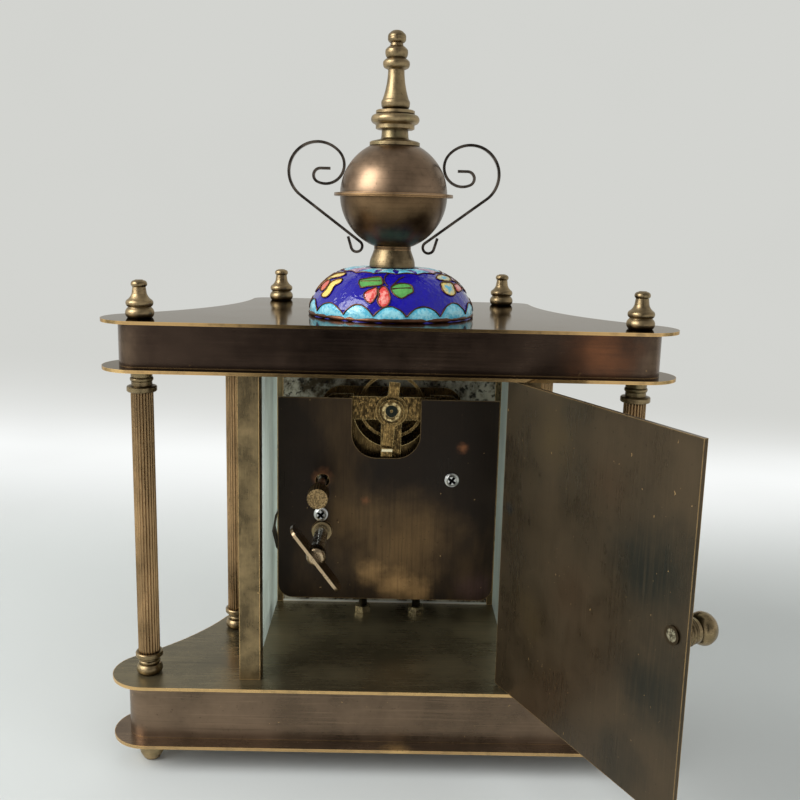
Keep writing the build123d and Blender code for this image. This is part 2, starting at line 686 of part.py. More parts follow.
def globe_neck():
    shares = ((1, 0), (1, 0.2), (0.93, 0.27), (0.7, 0.36), (0.54, 0.58, -0.05), (0.52, 1))
    neck = lathe_work(shares, NECK_RADIUS, NECK_LENGTH, ORNAMENT_BORE)
    spigot = turned([(NECK_RADIUS * 0.79, -NECK_SPIGOT), (NECK_RADIUS * 0.79, 0)], ORNAMENT_BORE)
    return on_roof(neck + spigot, NECK_HEIGHT)


def spire_collar():
    shares = ((0.74, 0), (0.8, 0.04), (0.8, 0.22), (0.84, 0.27), (0.84, 0.77, 0.16), (0.76, 0.8),
              (0.8, 0.83), (0.8, 0.96), (0.74, 1))
    collar = lathe_work(shares, SPIRE_COLLAR_RADIUS, SPIRE_COLLAR_LENGTH, ORNAMENT_BORE)
    return on_roof(collar, COLLAR_HEIGHT)


def spire():
    shares = ((0.76, 0), (1, 0.068, 0.07), (0.92, 0.135, 0.045), (0.57, 0.506, -0.08), (0.81, 0.527),
              (0.92, 0.557, 0.02), (0.92, 0.608, 0.02), (0.65, 0.65, 0.02), (0.775, 0.692, 0.02),
              (0.775, 0.755, 0.02), (0.47, 0.806, 0.02), (0.43, 0.84), (0.63, 0.903, 0.08),
              (0.49, 0.966, 0.056), (0.11, 1, 0.045))
    bore = extrude(Circle(ORNAMENT_BORE), amount=SPIRE_BORE)
    return on_roof(lathe_work(shares, SPIRE_RADIUS, SPIRE_LENGTH) - bore, SPIRE_HEIGHT)


def handle_bends():
    """The flat strip from its tail on: (bend radius, turn in degrees), or (0, straight length)."""
    return ((0, HANDLE_TAIL), (HANDLE_CURL_RADIUS, -155.0), (HANDLE_SCROLL_RADIUS, -158.5),
            (HANDLE_SWEEP_RADIUS, -190.0), (0, HANDLE_DIAGONAL), (HANDLE_HOOK_RADIUS, 217.0),
            (0, HANDLE_HOOK_END))


def scroll_handle():
    """Flat strip bent in one plane: small curl, large scroll, straight run, tear-drop hook."""
    end, heading = Vector(HANDLE_START_X, HANDLE_START_HEIGHT), Vector(1, 0)
    wire = Curve()
    for radius, turn in handle_bends():
        if radius == 0:
            path = Line(end, end + heading * turn)
        else:
            path = JernArc(start=end, tangent=heading, radius=radius, arc_size=turn)
        end, heading = path @ 1, path % 1
        wire += path
    strip = trace(wire, line_width=STRIP_THICKNESS)
    flat = extrude(Plane.XZ * strip, amount=STRIP_WIDTH)
    return on_roof(Pos(0, STRIP_WIDTH / 2, 0) * flat, 0)


def centre_rod():
    low = -PLATE_THICKNESS - NUT_THICKNESS
    stem = extrude(Circle(CENTRE_ROD_RADIUS), amount=SPIRE_HEIGHT + SPIRE_BORE - ROD_END_GAP - low)
    nut = hex_nut(CENTRE_ROD_RADIUS)
    return [on_roof(stem, low), on_roof(nut, low)]


# ---- movement: geometry of the train --------------------------------------------------------
def meshing_point(p, q, from_p, from_q, side):
    """The point at given centre distances from two arbors, on one side of the line p to q."""
    dx, dz = q[0] - p[0], q[1] - p[1]
    span = hypot(dx, dz)
    along = (from_p**2 - from_q**2 + span**2) / (2 * span)
    off = side * sqrt(from_p**2 - along**2)
    return (p[0] + (dx * along - dz * off) / span, p[1] + (dz * along + dx * off) / span)


def centre_distance(module, teeth_a, teeth_b):
    return module * (teeth_a + teeth_b) / 2


def intermediate_arbor():
    return meshing_point(WINDING_ARBOR, DIAL_CENTRE,
                         centre_distance(GREAT_MODULE, GREAT_TEETH, PINION_LEAVES),
                         centre_distance(INTERMEDIATE_MODULE, INTERMEDIATE_TEETH, PINION_LEAVES), 1)


def third_arbor():
    return meshing_point(DIAL_CENTRE, ESCAPE_ARBOR,
                         centre_distance(CENTRE_MODULE, CENTRE_TEETH, PINION_LEAVES),
                         centre_distance(THIRD_MODULE, THIRD_TEETH, PINION_LEAVES), 1)


def minute_arbor():
    return meshing_point(DIAL_CENTRE, SETTING_ARBOR,
                         centre_distance(MOTION_MODULE, CANNON_TEETH, MINUTE_WHEEL_TEETH),
                         centre_distance(MOTION_MODULE, MINUTE_WHEEL_TEETH, SETTING_TEETH), 1)


def mate_phase(centre, teeth, phase, mate_centre, mate_teeth):
    """Angle that turns a mate's first tooth so that it lies in a gap of the first wheel."""
    line = degrees(atan2(mate_centre[1] - centre[1], mate_centre[0] - centre[0]))
    offset = (line - phase) * teeth / 360
    return line + 180 - (0.5 - offset) * 360 / mate_teeth


def toothed(teeth, module, phase):
    """A wheel's outline with straight-sided teeth, its first tooth at the phase angle."""
    pitch = 360 / teeth
    tip, root = module * (teeth / 2 + 0.85), module * (teeth / 2 - 1.15)
    points = []
    for k in range(teeth):
        for share, radius in ((-0.27, root), (-0.1, tip), (0.1, tip), (0.27, root)):
            angle = radians(phase + (k + share) * pitch)
            points.append((radius * cos(angle), radius * sin(angle)))
    return make_face(Polyline(*points, close=True))


def crossed_out(rim, hub, spokes, spoke_width):
    """The windows between a wheel's spokes."""
    window = Circle(rim) - Circle(hub)
    for k in range(spokes):
        spoke = Pos(rim / 2, 0) * Rectangle(rim + spoke_width, spoke_width)
        window -= Rotation(0, 0, k * 360 / spokes) * spoke
    return window


def train_wheel(teeth, module):
    """A four-spoked wheel's outline, its rim, hub and spokes in proportion to its teeth."""
    rim = module * (teeth / 2 - 5)
    return toothed(teeth, module, 0) - crossed_out(rim, 7.6 * module, 4, 4 * module)


def wheel(centre, depth, sketch, thickness=WHEEL_THICKNESS):
    return upright(Pos(*centre) * sketch, depth, thickness)


def arbor(centre, body_radius):
    """A steel arbor between the plates, with a pivot in each."""
    stem = rod(centre, SHOULDER_START, SHOULDER_END - SHOULDER_START, body_radius)
    return stem + rod(centre, MOVEMENT_DEPTH, MOTION_DEPTH - MOVEMENT_DEPTH, PIVOT_RADIUS)


def great_wheel():
    eye = Pos(*CLICK_OFFSET) * Circle(CLICK_PIN_RADIUS + PIVOT_PLAY)
    sketch = toothed(GREAT_TEETH, GREAT_MODULE, 0) - Circle(WINDING_CORE_RADIUS + PIVOT_PLAY) - eye
    return wheel(WINDING_ARBOR, GREAT_DEPTH, sketch)


def pinion_beside(centre, module, phase, mate_depth, wheel_depth):
    """Eight leaves on a wheel's arbor, from its own wheel across the wheel that drives them."""
    start = min(mate_depth - PINION_OVERLAP, wheel_depth)
    end = max(mate_depth + WHEEL_THICKNESS + PINION_OVERLAP, wheel_depth)
    return wheel(centre, start, toothed(PINION_LEAVES, module, phase), end - start)


def intermediate_wheel():
    place = intermediate_arbor()
    phase = mate_phase(WINDING_ARBOR, GREAT_TEETH, 0, place, PINION_LEAVES)
    body = wheel(place, INTERMEDIATE_DEPTH, train_wheel(INTERMEDIATE_TEETH, INTERMEDIATE_MODULE))
    body += pinion_beside(place, GREAT_MODULE, phase, GREAT_DEPTH, INTERMEDIATE_DEPTH)
    return body + arbor(place, ARBOR_RADIUS)


def centre_wheel():
    phase = mate_phase(intermediate_arbor(), INTERMEDIATE_TEETH, 0, DIAL_CENTRE, PINION_LEAVES)
    body = wheel(DIAL_CENTRE, CENTRE_WHEEL_DEPTH, train_wheel(CENTRE_TEETH, CENTRE_MODULE))
    body += pinion_beside(DIAL_CENTRE, INTERMEDIATE_MODULE, phase, INTERMEDIATE_DEPTH, CENTRE_WHEEL_DEPTH)
    body += rod(DIAL_CENTRE, SHOULDER_START, SHOULDER_END - SHOULDER_START, CENTRE_SHOULDER_RADIUS)
    body += rod(DIAL_CENTRE, MOVEMENT_DEPTH, SHOULDER_START - MOVEMENT_DEPTH, PIVOT_RADIUS)
    return body + rod(DIAL_CENTRE, SHOULDER_END, MINUTE_HAND_DEPTH - SHOULDER_END, CENTRE_ARBOR_RADIUS)


def third_wheel():
    place = third_arbor()
    phase = mate_phase(DIAL_CENTRE, CENTRE_TEETH, 0, place, PINION_LEAVES)
    body = wheel(place, THIRD_DEPTH, train_wheel(THIRD_TEETH, THIRD_MODULE))
    body += pinion_beside(place, CENTRE_MODULE, phase, CENTRE_WHEEL_DEPTH, CENTRE_WHEEL_DEPTH)
    return body + arbor(place, ARBOR_RADIUS)


def escape_teeth():
    """Fifteen raked pointed teeth."""
    pitch = 2 * pi / ESCAPE_TEETH
    root = ESCAPE_RADIUS * 0.78
    points = []
    for k in range(ESCAPE_TEETH):
        for share, radius in ((0.0, root), (0.35, ESCAPE_RADIUS), (0.47, ESCAPE_RADIUS), (0.5, root)):
            points.append((radius * cos((k + share) * pitch), radius * sin((k + share) * pitch)))
    return make_face(Polyline(*points, close=True))


def escape_wheel():
    phase = mate_phase(third_arbor(), THIRD_TEETH, 0, ESCAPE_ARBOR, PINION_LEAVES)
    windows = crossed_out(ESCAPE_RADIUS * 0.62, ESCAPE_RADIUS * 0.35, 3, ESCAPE_RADIUS * 0.18)
    body = wheel(ESCAPE_ARBOR, ESCAPE_DEPTH, escape_teeth() - windows, ESCAPE_THICKNESS)
    body += pinion_beside(ESCAPE_ARBOR, THIRD_MODULE, phase, THIRD_DEPTH, THIRD_DEPTH)
    return body + arbor(ESCAPE_ARBOR, SLIM_ARBOR_RADIUS)


# ---- movement: winding, click and mainspring ------------------------------------------------
def ratchet_teeth():
    pitch = 2 * pi / RATCHET_TEETH
    points = []
    for k in range(RATCHET_TEETH):
        for share, radius in ((0.0, RATCHET_RADIUS), (0.06, RATCHET_RADIUS * 0.85)):
            points.append((radius * cos((k - share) * pitch), radius * sin((k - share) * pitch)))
    return make_face(Polyline(*points, close=True))


def winding_arbor():
    body = rod(WINDING_ARBOR, KNOB_DEPTH, TRAIN_DEPTH - KNOB_DEPTH, WINDING_RADIUS)
    body += rod(WINDING_ARBOR, TRAIN_DEPTH, SHOULDER_END - TRAIN_DEPTH, WINDING_CORE_RADIUS)
    body += rod(WINDING_ARBOR, SPRING_DEPTH, SPRING_WIDTH, WINDING_HUB_RADIUS)
    body += rod(WINDING_ARBOR, SHOULDER_END, MOTION_DEPTH - SHOULDER_END, WINDING_FRONT_PIVOT)
    return body + wheel(WINDING_ARBOR, RATCHET_DEPTH, ratchet_teeth(), RATCHET_THICKNESS)


def winding_key():
    """A flat leaf across a ball-shaped hub, pressed on the winding arbor's end."""
    ball = ((0.53, -0.62), (1, -0.12, 0.3), (1, 0.04, 0.03), (0.85, 0.38, 0.07))
    hub = lathe_work(ball, KEY_HUB_RADIUS, KEY_HUB_LENGTH)
    leaf = Rectangle(KEY_WING_DEPTH, KEY_LENGTH)
    leaf = fillet(leaf.vertices(), KEY_CORNER_RADIUS)
    wing = Rotation(0, -90, 0) * extrude(leaf, amount=KEY_WING_THICKNESS / 2, both=True)
    wing = Rotation(0, 0, 90 - KEY_ANGLE) * Pos(0, 0, -KEY_WING_DEPTH * 0.42) * wing
    inner = Align.CENTER, Align.CENTER, Align.MIN
    wing -= Pos(0, 0, KEY_HUB_LENGTH * 0.23) * Cylinder(KEY_LENGTH, KEY_WING_DEPTH, align=inner)
    return along_depth(hub + wing, WINDING_ARBOR[0], KNOB_DEPTH - KEY_OVERHANG, WINDING_ARBOR[1])


def winding_bush():
    length = COVER_STANDOFF + 2 * WINDING_BUSH_LIP
    tube = Circle(WINDING_BUSH_RADIUS) - Circle(WINDING_RADIUS + PIVOT_PLAY)
    return upright(Pos(*WINDING_ARBOR) * tube, MOVEMENT_DEPTH - length, length)


def click():
    """Pawl on the great wheel; its nose rests in a gap of the ratchet wheel."""
    nose = (WINDING_ARBOR[0] + CLICK_NOSE[0], WINDING_ARBOR[1] + CLICK_NOSE[1])
    x, z = CLICK_PLACE
    eye = CLICK_EYE_RADIUS
    arm = make_face(Polyline((x + eye * 0.93, z), nose, (x - eye * 0.67, z + eye * 1.07), close=True))
    pin = rod(CLICK_PLACE, GREAT_DEPTH, RATCHET_DEPTH - GREAT_DEPTH, CLICK_PIN_RADIUS)
    return upright(arm + Pos(x, z) * Circle(eye), RATCHET_DEPTH, RATCHET_THICKNESS) + pin


def ribbon(points, width):
    """A strip of constant thickness along a run of points."""
    left, right = [], []
    for k, (x, z) in enumerate(points):
        x0, z0 = points[max(k - 1, 0)]
        x1, z1 = points[min(k + 1, len(points) - 1)]
        reach = hypot(x1 - x0, z1 - z0)
        nx, nz = -(z1 - z0) / reach * width / 2, (x1 - x0) / reach * width / 2
        left.append((x + nx, z + nz))
        right.append((x - nx, z - nz))
    return make_face(Polyline(*(left + right[::-1]), close=True))


def spiral(turns, inner, outer, drift=(0.0, 0.0)):
    """Points of a flat spiral, sixteen to a turn, its centre drifting by its outer end."""
    steps = round(turns * 16)
    points = []
    for k in range(steps + 1):
        share = k / steps
        angle = 2 * pi * turns * share
        radius = inner + (outer - inner) * share
        points.append((drift[0] * share + radius * cos(angle), drift[1] * share + radius * sin(angle)))
    return points


def mainspring():
    """Open spring: its coils grow from the arbor's hub and lean towards the outer end."""
    drift = (SPRING_CENTRE[0] - WINDING_ARBOR[0], SPRING_CENTRE[1] - WINDING_ARBOR[1])
    points = spiral(SPRING_TURNS, WINDING_HUB_RADIUS + SPRING_STRIP, SPRING_OUTER_RADIUS, drift)
    return wheel(WINDING_ARBOR, SPRING_DEPTH, ribbon(points, SPRING_STRIP), SPRING_WIDTH)


# ---- movement: plates, cover, bridge --------------------------------------------------------
def movement_outline():
    width, height = MOVEMENT_WIDTH, MOVEMENT_TOP - MOVEMENT_BOTTOM
    sketch = Rectangle(width, height)
    top = sketch.vertices().sort_by(Axis.Y)[-2:]
    return Pos(MOVEMENT_X, MOVEMENT_BOTTOM + height / 2) * fillet(top, MOVEMENT_CORNER_RADIUS)


def pillar_places():
    left = MOVEMENT_X - MOVEMENT_WIDTH / 2
    right = MOVEMENT_X + MOVEMENT_WIDTH / 2
    inset = PILLAR_RADIUS + PILLAR_EDGE
    low = MOVEMENT_BOTTOM + inset
    high = MOVEMENT_TOP - inset - SHAKE
    beside_stud = (STUD_X[0] - STUD_RADIUS - PILLAR_RADIUS - 2 * SHAKE,
                   MOVEMENT_BOTTOM + PILLAR_RADIUS + 4 * SHAKE)
    return [(left + inset, low), beside_stud, (left + inset, high), (right - inset, high)]


def pivot_holes():
    places = [intermediate_arbor(), third_arbor(), ESCAPE_ARBOR, LEVER_ARBOR]
    return [(place, PIVOT_RADIUS + PIVOT_PLAY) for place in places]


def rear_plate():
    sketch = movement_outline() - Pos(*BALANCE_STAFF) * Circle(BALANCE_WELL)
    crown = MOVEMENT_TOP - BALANCE_STAFF[1] + 1
    sketch -= Pos(BALANCE_STAFF[0], BALANCE_STAFF[1] + crown / 2) * Rectangle(2 * BALANCE_WELL, crown)
    for place, radius in pivot_holes()[:3]:
        sketch -= Pos(*place) * Circle(radius)
    sketch -= Pos(*DIAL_CENTRE) * Circle(PIVOT_RADIUS + PIVOT_PLAY)
    sketch -= Pos(*WINDING_ARBOR) * Circle(WINDING_RADIUS + PIVOT_PLAY)
    sketch -= Pos(*SETTING_ARBOR) * Circle(SETTING_RADIUS + PIVOT_PLAY)
    return upright(sketch, MOVEMENT_DEPTH, MOVEMENT_PLATE_THICKNESS)


def front_plate():
    sketch = movement_outline()
    for place, radius in pivot_holes():
        sketch -= Pos(*place) * Circle(radius)
    sketch -= Pos(*BALANCE_STAFF) * Circle(PIVOT_RADIUS + PIVOT_PLAY)
    sketch -= Pos(*DIAL_CENTRE) * Circle(CENTRE_ARBOR_RADIUS + PIVOT_PLAY)
    sketch -= Pos(*WINDING_ARBOR) * Circle(WINDING_FRONT_PIVOT + PIVOT_PLAY)
    sketch -= Pos(*SETTING_ARBOR) * Circle(SETTING_RADIUS + PIVOT_PLAY)
    sketch -= Pos(*minute_arbor()) * Circle(PIVOT_RADIUS + PIVOT_PLAY)
    plate = upright(sketch, FRONT_PLATE_DEPTH, MOVEMENT_PLATE_THICKNESS)
    left, right = MOVEMENT_X - FOOT_FLANGE_HALF_WIDTH, MOVEMENT_X + FOOT_FLANGE_HALF_WIDTH
    low = DECK + SHELF_HEIGHT
    shelf = block(left, right, STUD_DEPTH - SHELF_REACH, MOTION_DEPTH, low, low + MOVEMENT_PLATE_THICKNESS)
    apron = block(left, right, FRONT_PLATE_DEPTH, MOTION_DEPTH, low, DECK + MOVEMENT_BOTTOM)
    for x in STUD_X:
        shelf -= Pos(x, -STUD_DEPTH, low) * Cylinder(STUD_RADIUS + ROD_CLEARANCE, 3 * PLATE_THICKNESS)
    return plate + apron + shelf


def pillars():
    items = []
    for place in pillar_places():
        body = rod(place, TRAIN_DEPTH, PLATE_SPACING, PILLAR_RADIUS)
        items.append(body + rod(place, MOTION_DEPTH, PANEL_DEPTH - MOTION_DEPTH, PILLAR_RADIUS))
    return items


def cover():
    height = COVER_TOP - COVER_BOTTOM
    sketch = Rectangle(2 * COVER_HALF_WIDTH, height)
    sketch = fillet(sketch.vertices().sort_by(Axis.Y)[:2], COVER_CORNER_RADIUS)
    sketch = Pos(0, COVER_BOTTOM + height / 2) * sketch
    depth = COVER_TOP - WINDOW_BOTTOM + WINDOW_OPEN_TOP
    notch = Rectangle(2 * WINDOW_HALF_WIDTH, depth)
    notch = fillet(notch.vertices().sort_by(Axis.Y)[:2], WINDOW_HALF_WIDTH * WINDOW_CORNER_SHARE)
    sketch -= Pos(WINDOW_X, WINDOW_BOTTOM + depth / 2) * notch
    sketch -= Pos(*WINDING_ARBOR) * Circle(WINDING_BUSH_RADIUS + ROD_CLEARANCE)
    sketch -= Pos(*SETTING_ARBOR) * Circle(SETTING_RADIUS + SETTING_HOLE_CLEARANCE)
    for place in COVER_SCREWS:
        sketch -= Pos(*place) * Circle(SCREW_HOLE_RADIUS)
    return upright(sketch, COVER_DEPTH, COVER_THICKNESS)


def cover_screws():
    """Pan-head screw with its threaded post, which stands on the rear plate."""
    items = []
    pan = ((1, 0), (1, -0.38), (0.57, -1, 0.12))
    for x, z in COVER_SCREWS:
        head = lathe_work(pan, SCREW_HEAD_RADIUS, SCREW_HEAD_HEIGHT)
        shank = rod((x, z), COVER_DEPTH, SCREW_LENGTH, STUD_RADIUS)
        items.append(along_depth(head, x, COVER_DEPTH, z) + shank)
        start = COVER_DEPTH + COVER_THICKNESS
        tube = Circle(SCREW_POST_RADIUS) - Circle(STUD_RADIUS + PIVOT_PLAY)
        items.append(upright(Pos(x, z) * tube, start, MOVEMENT_DEPTH - start))
    return items


def mounting_nuts():
    items = []
    top = SHELF_HEIGHT + 2 * MOVEMENT_PLATE_THICKNESS
    for x in STUD_X:
        stud = extrude(Circle(STUD_RADIUS), amount=top + PLATE_THICKNESS)
        items.append(Pos(x, -STUD_DEPTH, DECK - PLATE_THICKNESS) * stud)
        nut = Rotation(0, 0, NUT_TURN) * hex_nut(STUD_RADIUS + ROD_CLEARANCE)
        items.append(Pos(x, -STUD_DEPTH, DECK) * nut)
    return items


def balance_bridge():
    """Wide bar over the balance with a leg down the plate and a cupped boss for the jewel."""
    x, z = BALANCE_STAFF
    bar = Pos(x, z + BRIDGE_RISE) * Rectangle(2 * BRIDGE_HALF_SPAN, BRIDGE_WIDTH)
    leg = Pos(x, z - BRIDGE_LEG / 2 - BRIDGE_RISE) * Rectangle(BRIDGE_LEG_WIDTH, BRIDGE_LEG)
    pivot = Circle(PIVOT_RADIUS + PIVOT_PLAY)
    body = upright(bar + leg - Pos(x, z) * pivot, BRIDGE_DEPTH, BRIDGE_THICKNESS)
    start = BRIDGE_DEPTH - BOSS_LENGTH
    body += upright(Pos(x, z) * (Circle(BOSS_RADIUS) - Circle(BOSS_CUP_RADIUS)), start, BOSS_LENGTH)
    cup = Pos(x, z) * (Circle(BOSS_CUP_RADIUS) - pivot)
    return body + upright(cup, start + BOSS_CUP_DEPTH, BOSS_LENGTH - BOSS_CUP_DEPTH)


def regulator():
    """Index ring round the boss: a short arm up, a tail down that is stepped towards the door."""
    x, z = BALANCE_STAFF
    inner = BOSS_RADIUS + PIVOT_PLAY
    outer = inner + REGULATOR_RING
    w, sheet = REGULATOR_WIDTH, REGULATOR_THICKNESS
    arms = Pos(0, REGULATOR_UP / 2) * Rectangle(w, REGULATOR_UP)
    arms += Pos(0, -REGULATOR_DOWN / 2) * Rectangle(w, REGULATOR_DOWN)
    start = BRIDGE_DEPTH - SHAKE - sheet - 2 * SHAKE
    body = upright(Pos(x, z) * (Circle(outer) + arms - Circle(inner)), start, sheet)
    fold = Pos(x, z - REGULATOR_DOWN + sheet / 2) * Rectangle(w, sheet)
    body += upright(fold, start - REGULATOR_STEP, REGULATOR_STEP + sheet)
    tail = Pos(x, z - REGULATOR_DOWN + sheet - REGULATOR_TAIL / 2) * Rectangle(w, REGULATOR_TAIL)
    body += upright(tail, start - REGULATOR_STEP, sheet)
    return body.rotate(Axis((x, 0, DECK + z), (0, 1, 0)), -REGULATOR_ANGLE)


# ---- movement: escapement -------------------------------------------------------------------
def balance_wheel():
    rim = Circle(BALANCE_RADIUS) - Circle(BALANCE_RADIUS - BALANCE_RIM)
    rim += Rectangle(2 * BALANCE_RADIUS - BALANCE_RIM, BALANCE_ARM) + Circle(BALANCE_HUB_RADIUS)
    body = wheel(BALANCE_STAFF, BALANCE_DEPTH, rim, BALANCE_THICKNESS)
    body += rod(BALANCE_STAFF, SHOULDER_START, SHOULDER_END - SHOULDER_START, STAFF_RADIUS)
    roller = ESCAPE_DEPTH - ROLLER_THICKNESS - PINION_OVERLAP
    body += rod(BALANCE_STAFF, roller, ROLLER_THICKNESS, ROLLER_RADIUS)
    start = BRIDGE_DEPTH - BOSS_LENGTH + BOSS_CUP_DEPTH
    return body + rod(BALANCE_STAFF, start, MOTION_DEPTH - start, PIVOT_RADIUS)


def hairspring():
    points = spiral(HAIRSPRING_TURNS, HAIRSPRING_INNER, HAIRSPRING_OUTER)
    collet = Circle(HAIRSPRING_INNER + HAIRSPRING_STRIP) - Circle(STAFF_RADIUS + PIVOT_PLAY / 2)
    depth = BALANCE_DEPTH - HAIRSPRING_GAP - HAIRSPRING_WIDTH
    return wheel(BALANCE_STAFF, depth, ribbon(points, HAIRSPRING_STRIP) + collet, HAIRSPRING_WIDTH)


def pallet_lever():
    """Fork towards the balance, two arms with pallet pins beside the escape wheel."""
    x, z = LEVER_ARBOR
    reach = BALANCE_STAFF[1] - z - FORK_GAP
    slot = Pos(0, FORK_WIDTH * 0.4) * Rectangle(FORK_WIDTH * 0.7, FORK_WIDTH)
    tip = Rectangle(2.2 * FORK_WIDTH, 1.4 * FORK_WIDTH) - slot
    yoke_width = 2 * (PALLET_SPAN + PALLET_PIN_RADIUS)
    yoke_height = z - PALLET_PIN_RADIUS
    sketch = Pos(x, z + reach / 2) * Rectangle(FORK_WIDTH, reach)
    sketch += Pos(x, z + reach - FORK_WIDTH / 2) * tip
    sketch += Pos(x, yoke_height) * Rectangle(yoke_width, FORK_WIDTH) + Pos(x, z) * Circle(FORK_WIDTH)
    start = ESCAPE_DEPTH + ESCAPE_THICKNESS + PINION_OVERLAP
    body = upright(sketch, start, FORK_THICKNESS)
    for side in (1, -1):
        pin = (x + side * PALLET_SPAN, yoke_height)
        body += rod(pin, ESCAPE_DEPTH, start + FORK_THICKNESS - ESCAPE_DEPTH, PALLET_PIN_RADIUS)
    body += rod(LEVER_ARBOR, ESCAPE_DEPTH, SHOULDER_END - ESCAPE_DEPTH, SLIM_ARBOR_RADIUS)
    return body + rod(LEVER_ARBOR, SHOULDER_END, MOTION_DEPTH - SHOULDER_END, PIVOT_RADIUS)


# ---- motion work, hands and setting ---------------------------------------------------------
def motion_phases():
    """First-tooth angles of the minute wheel, the setting pinion and the hour wheel."""
    minute = mate_phase(DIAL_CENTRE, CANNON_TEETH, 0, minute_arbor(), MINUTE_WHEEL_TEETH)
    setting = mate_phase(minute_arbor(), MINUTE_WHEEL_TEETH, minute, SETTING_ARBOR, SETTING_TEETH)
    hour = mate_phase(minute_arbor(), MINUTE_PINION_TEETH, 0, DIAL_CENTRE, HOUR_WHEEL_TEETH)
    return minute, setting, hour


def hour_module():
    distance = centre_distance(MOTION_MODULE, CANNON_TEETH, MINUTE_WHEEL_TEETH)
    return 2 * distance / (MINUTE_PINION_TEETH + HOUR_WHEEL_TEETH)


def cannon_pinion():
    length = MINUTE_HAND_DEPTH + HAND_THICKNESS - CANNON_DEPTH
    body = wheel(DIAL_CENTRE, CANNON_DEPTH, toothed(CANNON_TEETH, MOTION_MODULE, 0))
    body += rod(DIAL_CENTRE, CANNON_DEPTH, length, CANNON_RADIUS)
    return body - rod(DIAL_CENTRE, CANNON_DEPTH, length, CENTRE_ARBOR_RADIUS + PIVOT_PLAY)


def hour_wheel():
    sketch = toothed(HOUR_WHEEL_TEETH, hour_module(), motion_phases()[2])
    length = HOUR_HAND_DEPTH + HAND_THICKNESS - HOUR_WHEEL_DEPTH
    body = wheel(DIAL_CENTRE, HOUR_WHEEL_DEPTH, sketch)
    body += rod(DIAL_CENTRE, HOUR_WHEEL_DEPTH, length, HOUR_PIPE_RADIUS)
    return body - rod(DIAL_CENTRE, HOUR_WHEEL_DEPTH, length, CANNON_RADIUS + PIVOT_PLAY)


def minute_wheel():
    place = minute_arbor()
    body = wheel(place, CANNON_DEPTH, toothed(MINUTE_WHEEL_TEETH, MOTION_MODULE, motion_phases()[0]))
    pinion = toothed(MINUTE_PINION_TEETH, hour_module(), 0)
    body += wheel(place, CANNON_DEPTH, pinion, HOUR_WHEEL_DEPTH + WHEEL_THICKNESS - CANNON_DEPTH)
    body += rod(place, MOTION_DEPTH + SHAKE, PANEL_DEPTH - MOTION_DEPTH - 2 * SHAKE, ARBOR_RADIUS)
    start = FRONT_PLATE_DEPTH + 2 * SHAKE
    return body + rod(place, start, PANEL_DEPTH + PANEL_THICKNESS - start, PIVOT_RADIUS)


def setting_arbor():
    start = KNOB_DEPTH + SETTING_CAP
    end = CANNON_DEPTH + WHEEL_THICKNESS
    body = rod(SETTING_ARBOR, start, end - start, SETTING_RADIUS)
    body += wheel(SETTING_ARBOR, CANNON_DEPTH, toothed(SETTING_TEETH, MOTION_MODULE, motion_phases()[1]))
    return body + rod(SETTING_ARBOR, end, PANEL_DEPTH + PANEL_THICKNESS - end, PIVOT_RADIUS)


def setting_knob():
    """Knurled cylinder with a plain hub, pressed on the setting arbor."""
    points = []
    for k in range(2 * KNURL_COUNT):
        r = SETTING_KNOB_RADIUS * (1 if k % 2 else KNURL_SHARE)
        points.append((r * cos(k * pi / KNURL_COUNT), r * sin(k * pi / KNURL_COUNT)))
    grip = wheel(SETTING_ARBOR, KNOB_DEPTH, make_face(Polyline(*points, close=True)), SETTING_KNOB_LENGTH)
    hub = rod(SETTING_ARBOR, KNOB_DEPTH + SETTING_KNOB_LENGTH, SETTING_HUB_LENGTH, SETTING_HUB_RADIUS)
    bore = rod(SETTING_ARBOR, KNOB_DEPTH + SETTING_CAP, SETTING_KNOB_LENGTH + SETTING_HUB_LENGTH,
               SETTING_RADIUS)
    return grip + hub - bore


def hand_face(length, width, hub, bore, angle):
    """A spade-like leaf on a round hub, pointing up before it is turned."""
    half, stem = width / 2, HAND_STEM / 2
    blade = Polyline((-stem, 0), (-stem, length * 0.45), (-half, length * 0.7), (0, length),
                     (half, length * 0.7), (stem, length * 0.45), (stem, 0), close=True)
    return Rotation(0, 0, angle) * (make_face(blade) + Circle(hub) - Circle(bore))


def minute_hand():
    sketch = hand_face(MINUTE_HAND_LENGTH, MINUTE_HAND_WIDTH, CANNON_RADIUS + HAND_EYE, CANNON_RADIUS,
                       MINUTE_HAND_ANGLE)
    return wheel(DIAL_CENTRE, MINUTE_HAND_DEPTH, sketch, HAND_THICKNESS)


def hour_hand():
    sketch = hand_face(HOUR_HAND_LENGTH, HOUR_HAND_WIDTH, HOUR_PIPE_RADIUS + HAND_EYE, HOUR_PIPE_RADIUS,
                       HOUR_HAND_ANGLE)
    return wheel(DIAL_CENTRE, HOUR_HAND_DEPTH, sketch, HAND_THICKNESS)


# ---- door -----------------------------------------------------------------------------------
def swung(shape):
    """A door piece drawn closed, turned about the hinge to where the door stands."""
    x, y = hinge_place()
    return shape.rotate(Axis((x, y, 0), (0, 0, 1)), DOOR_OPENING)


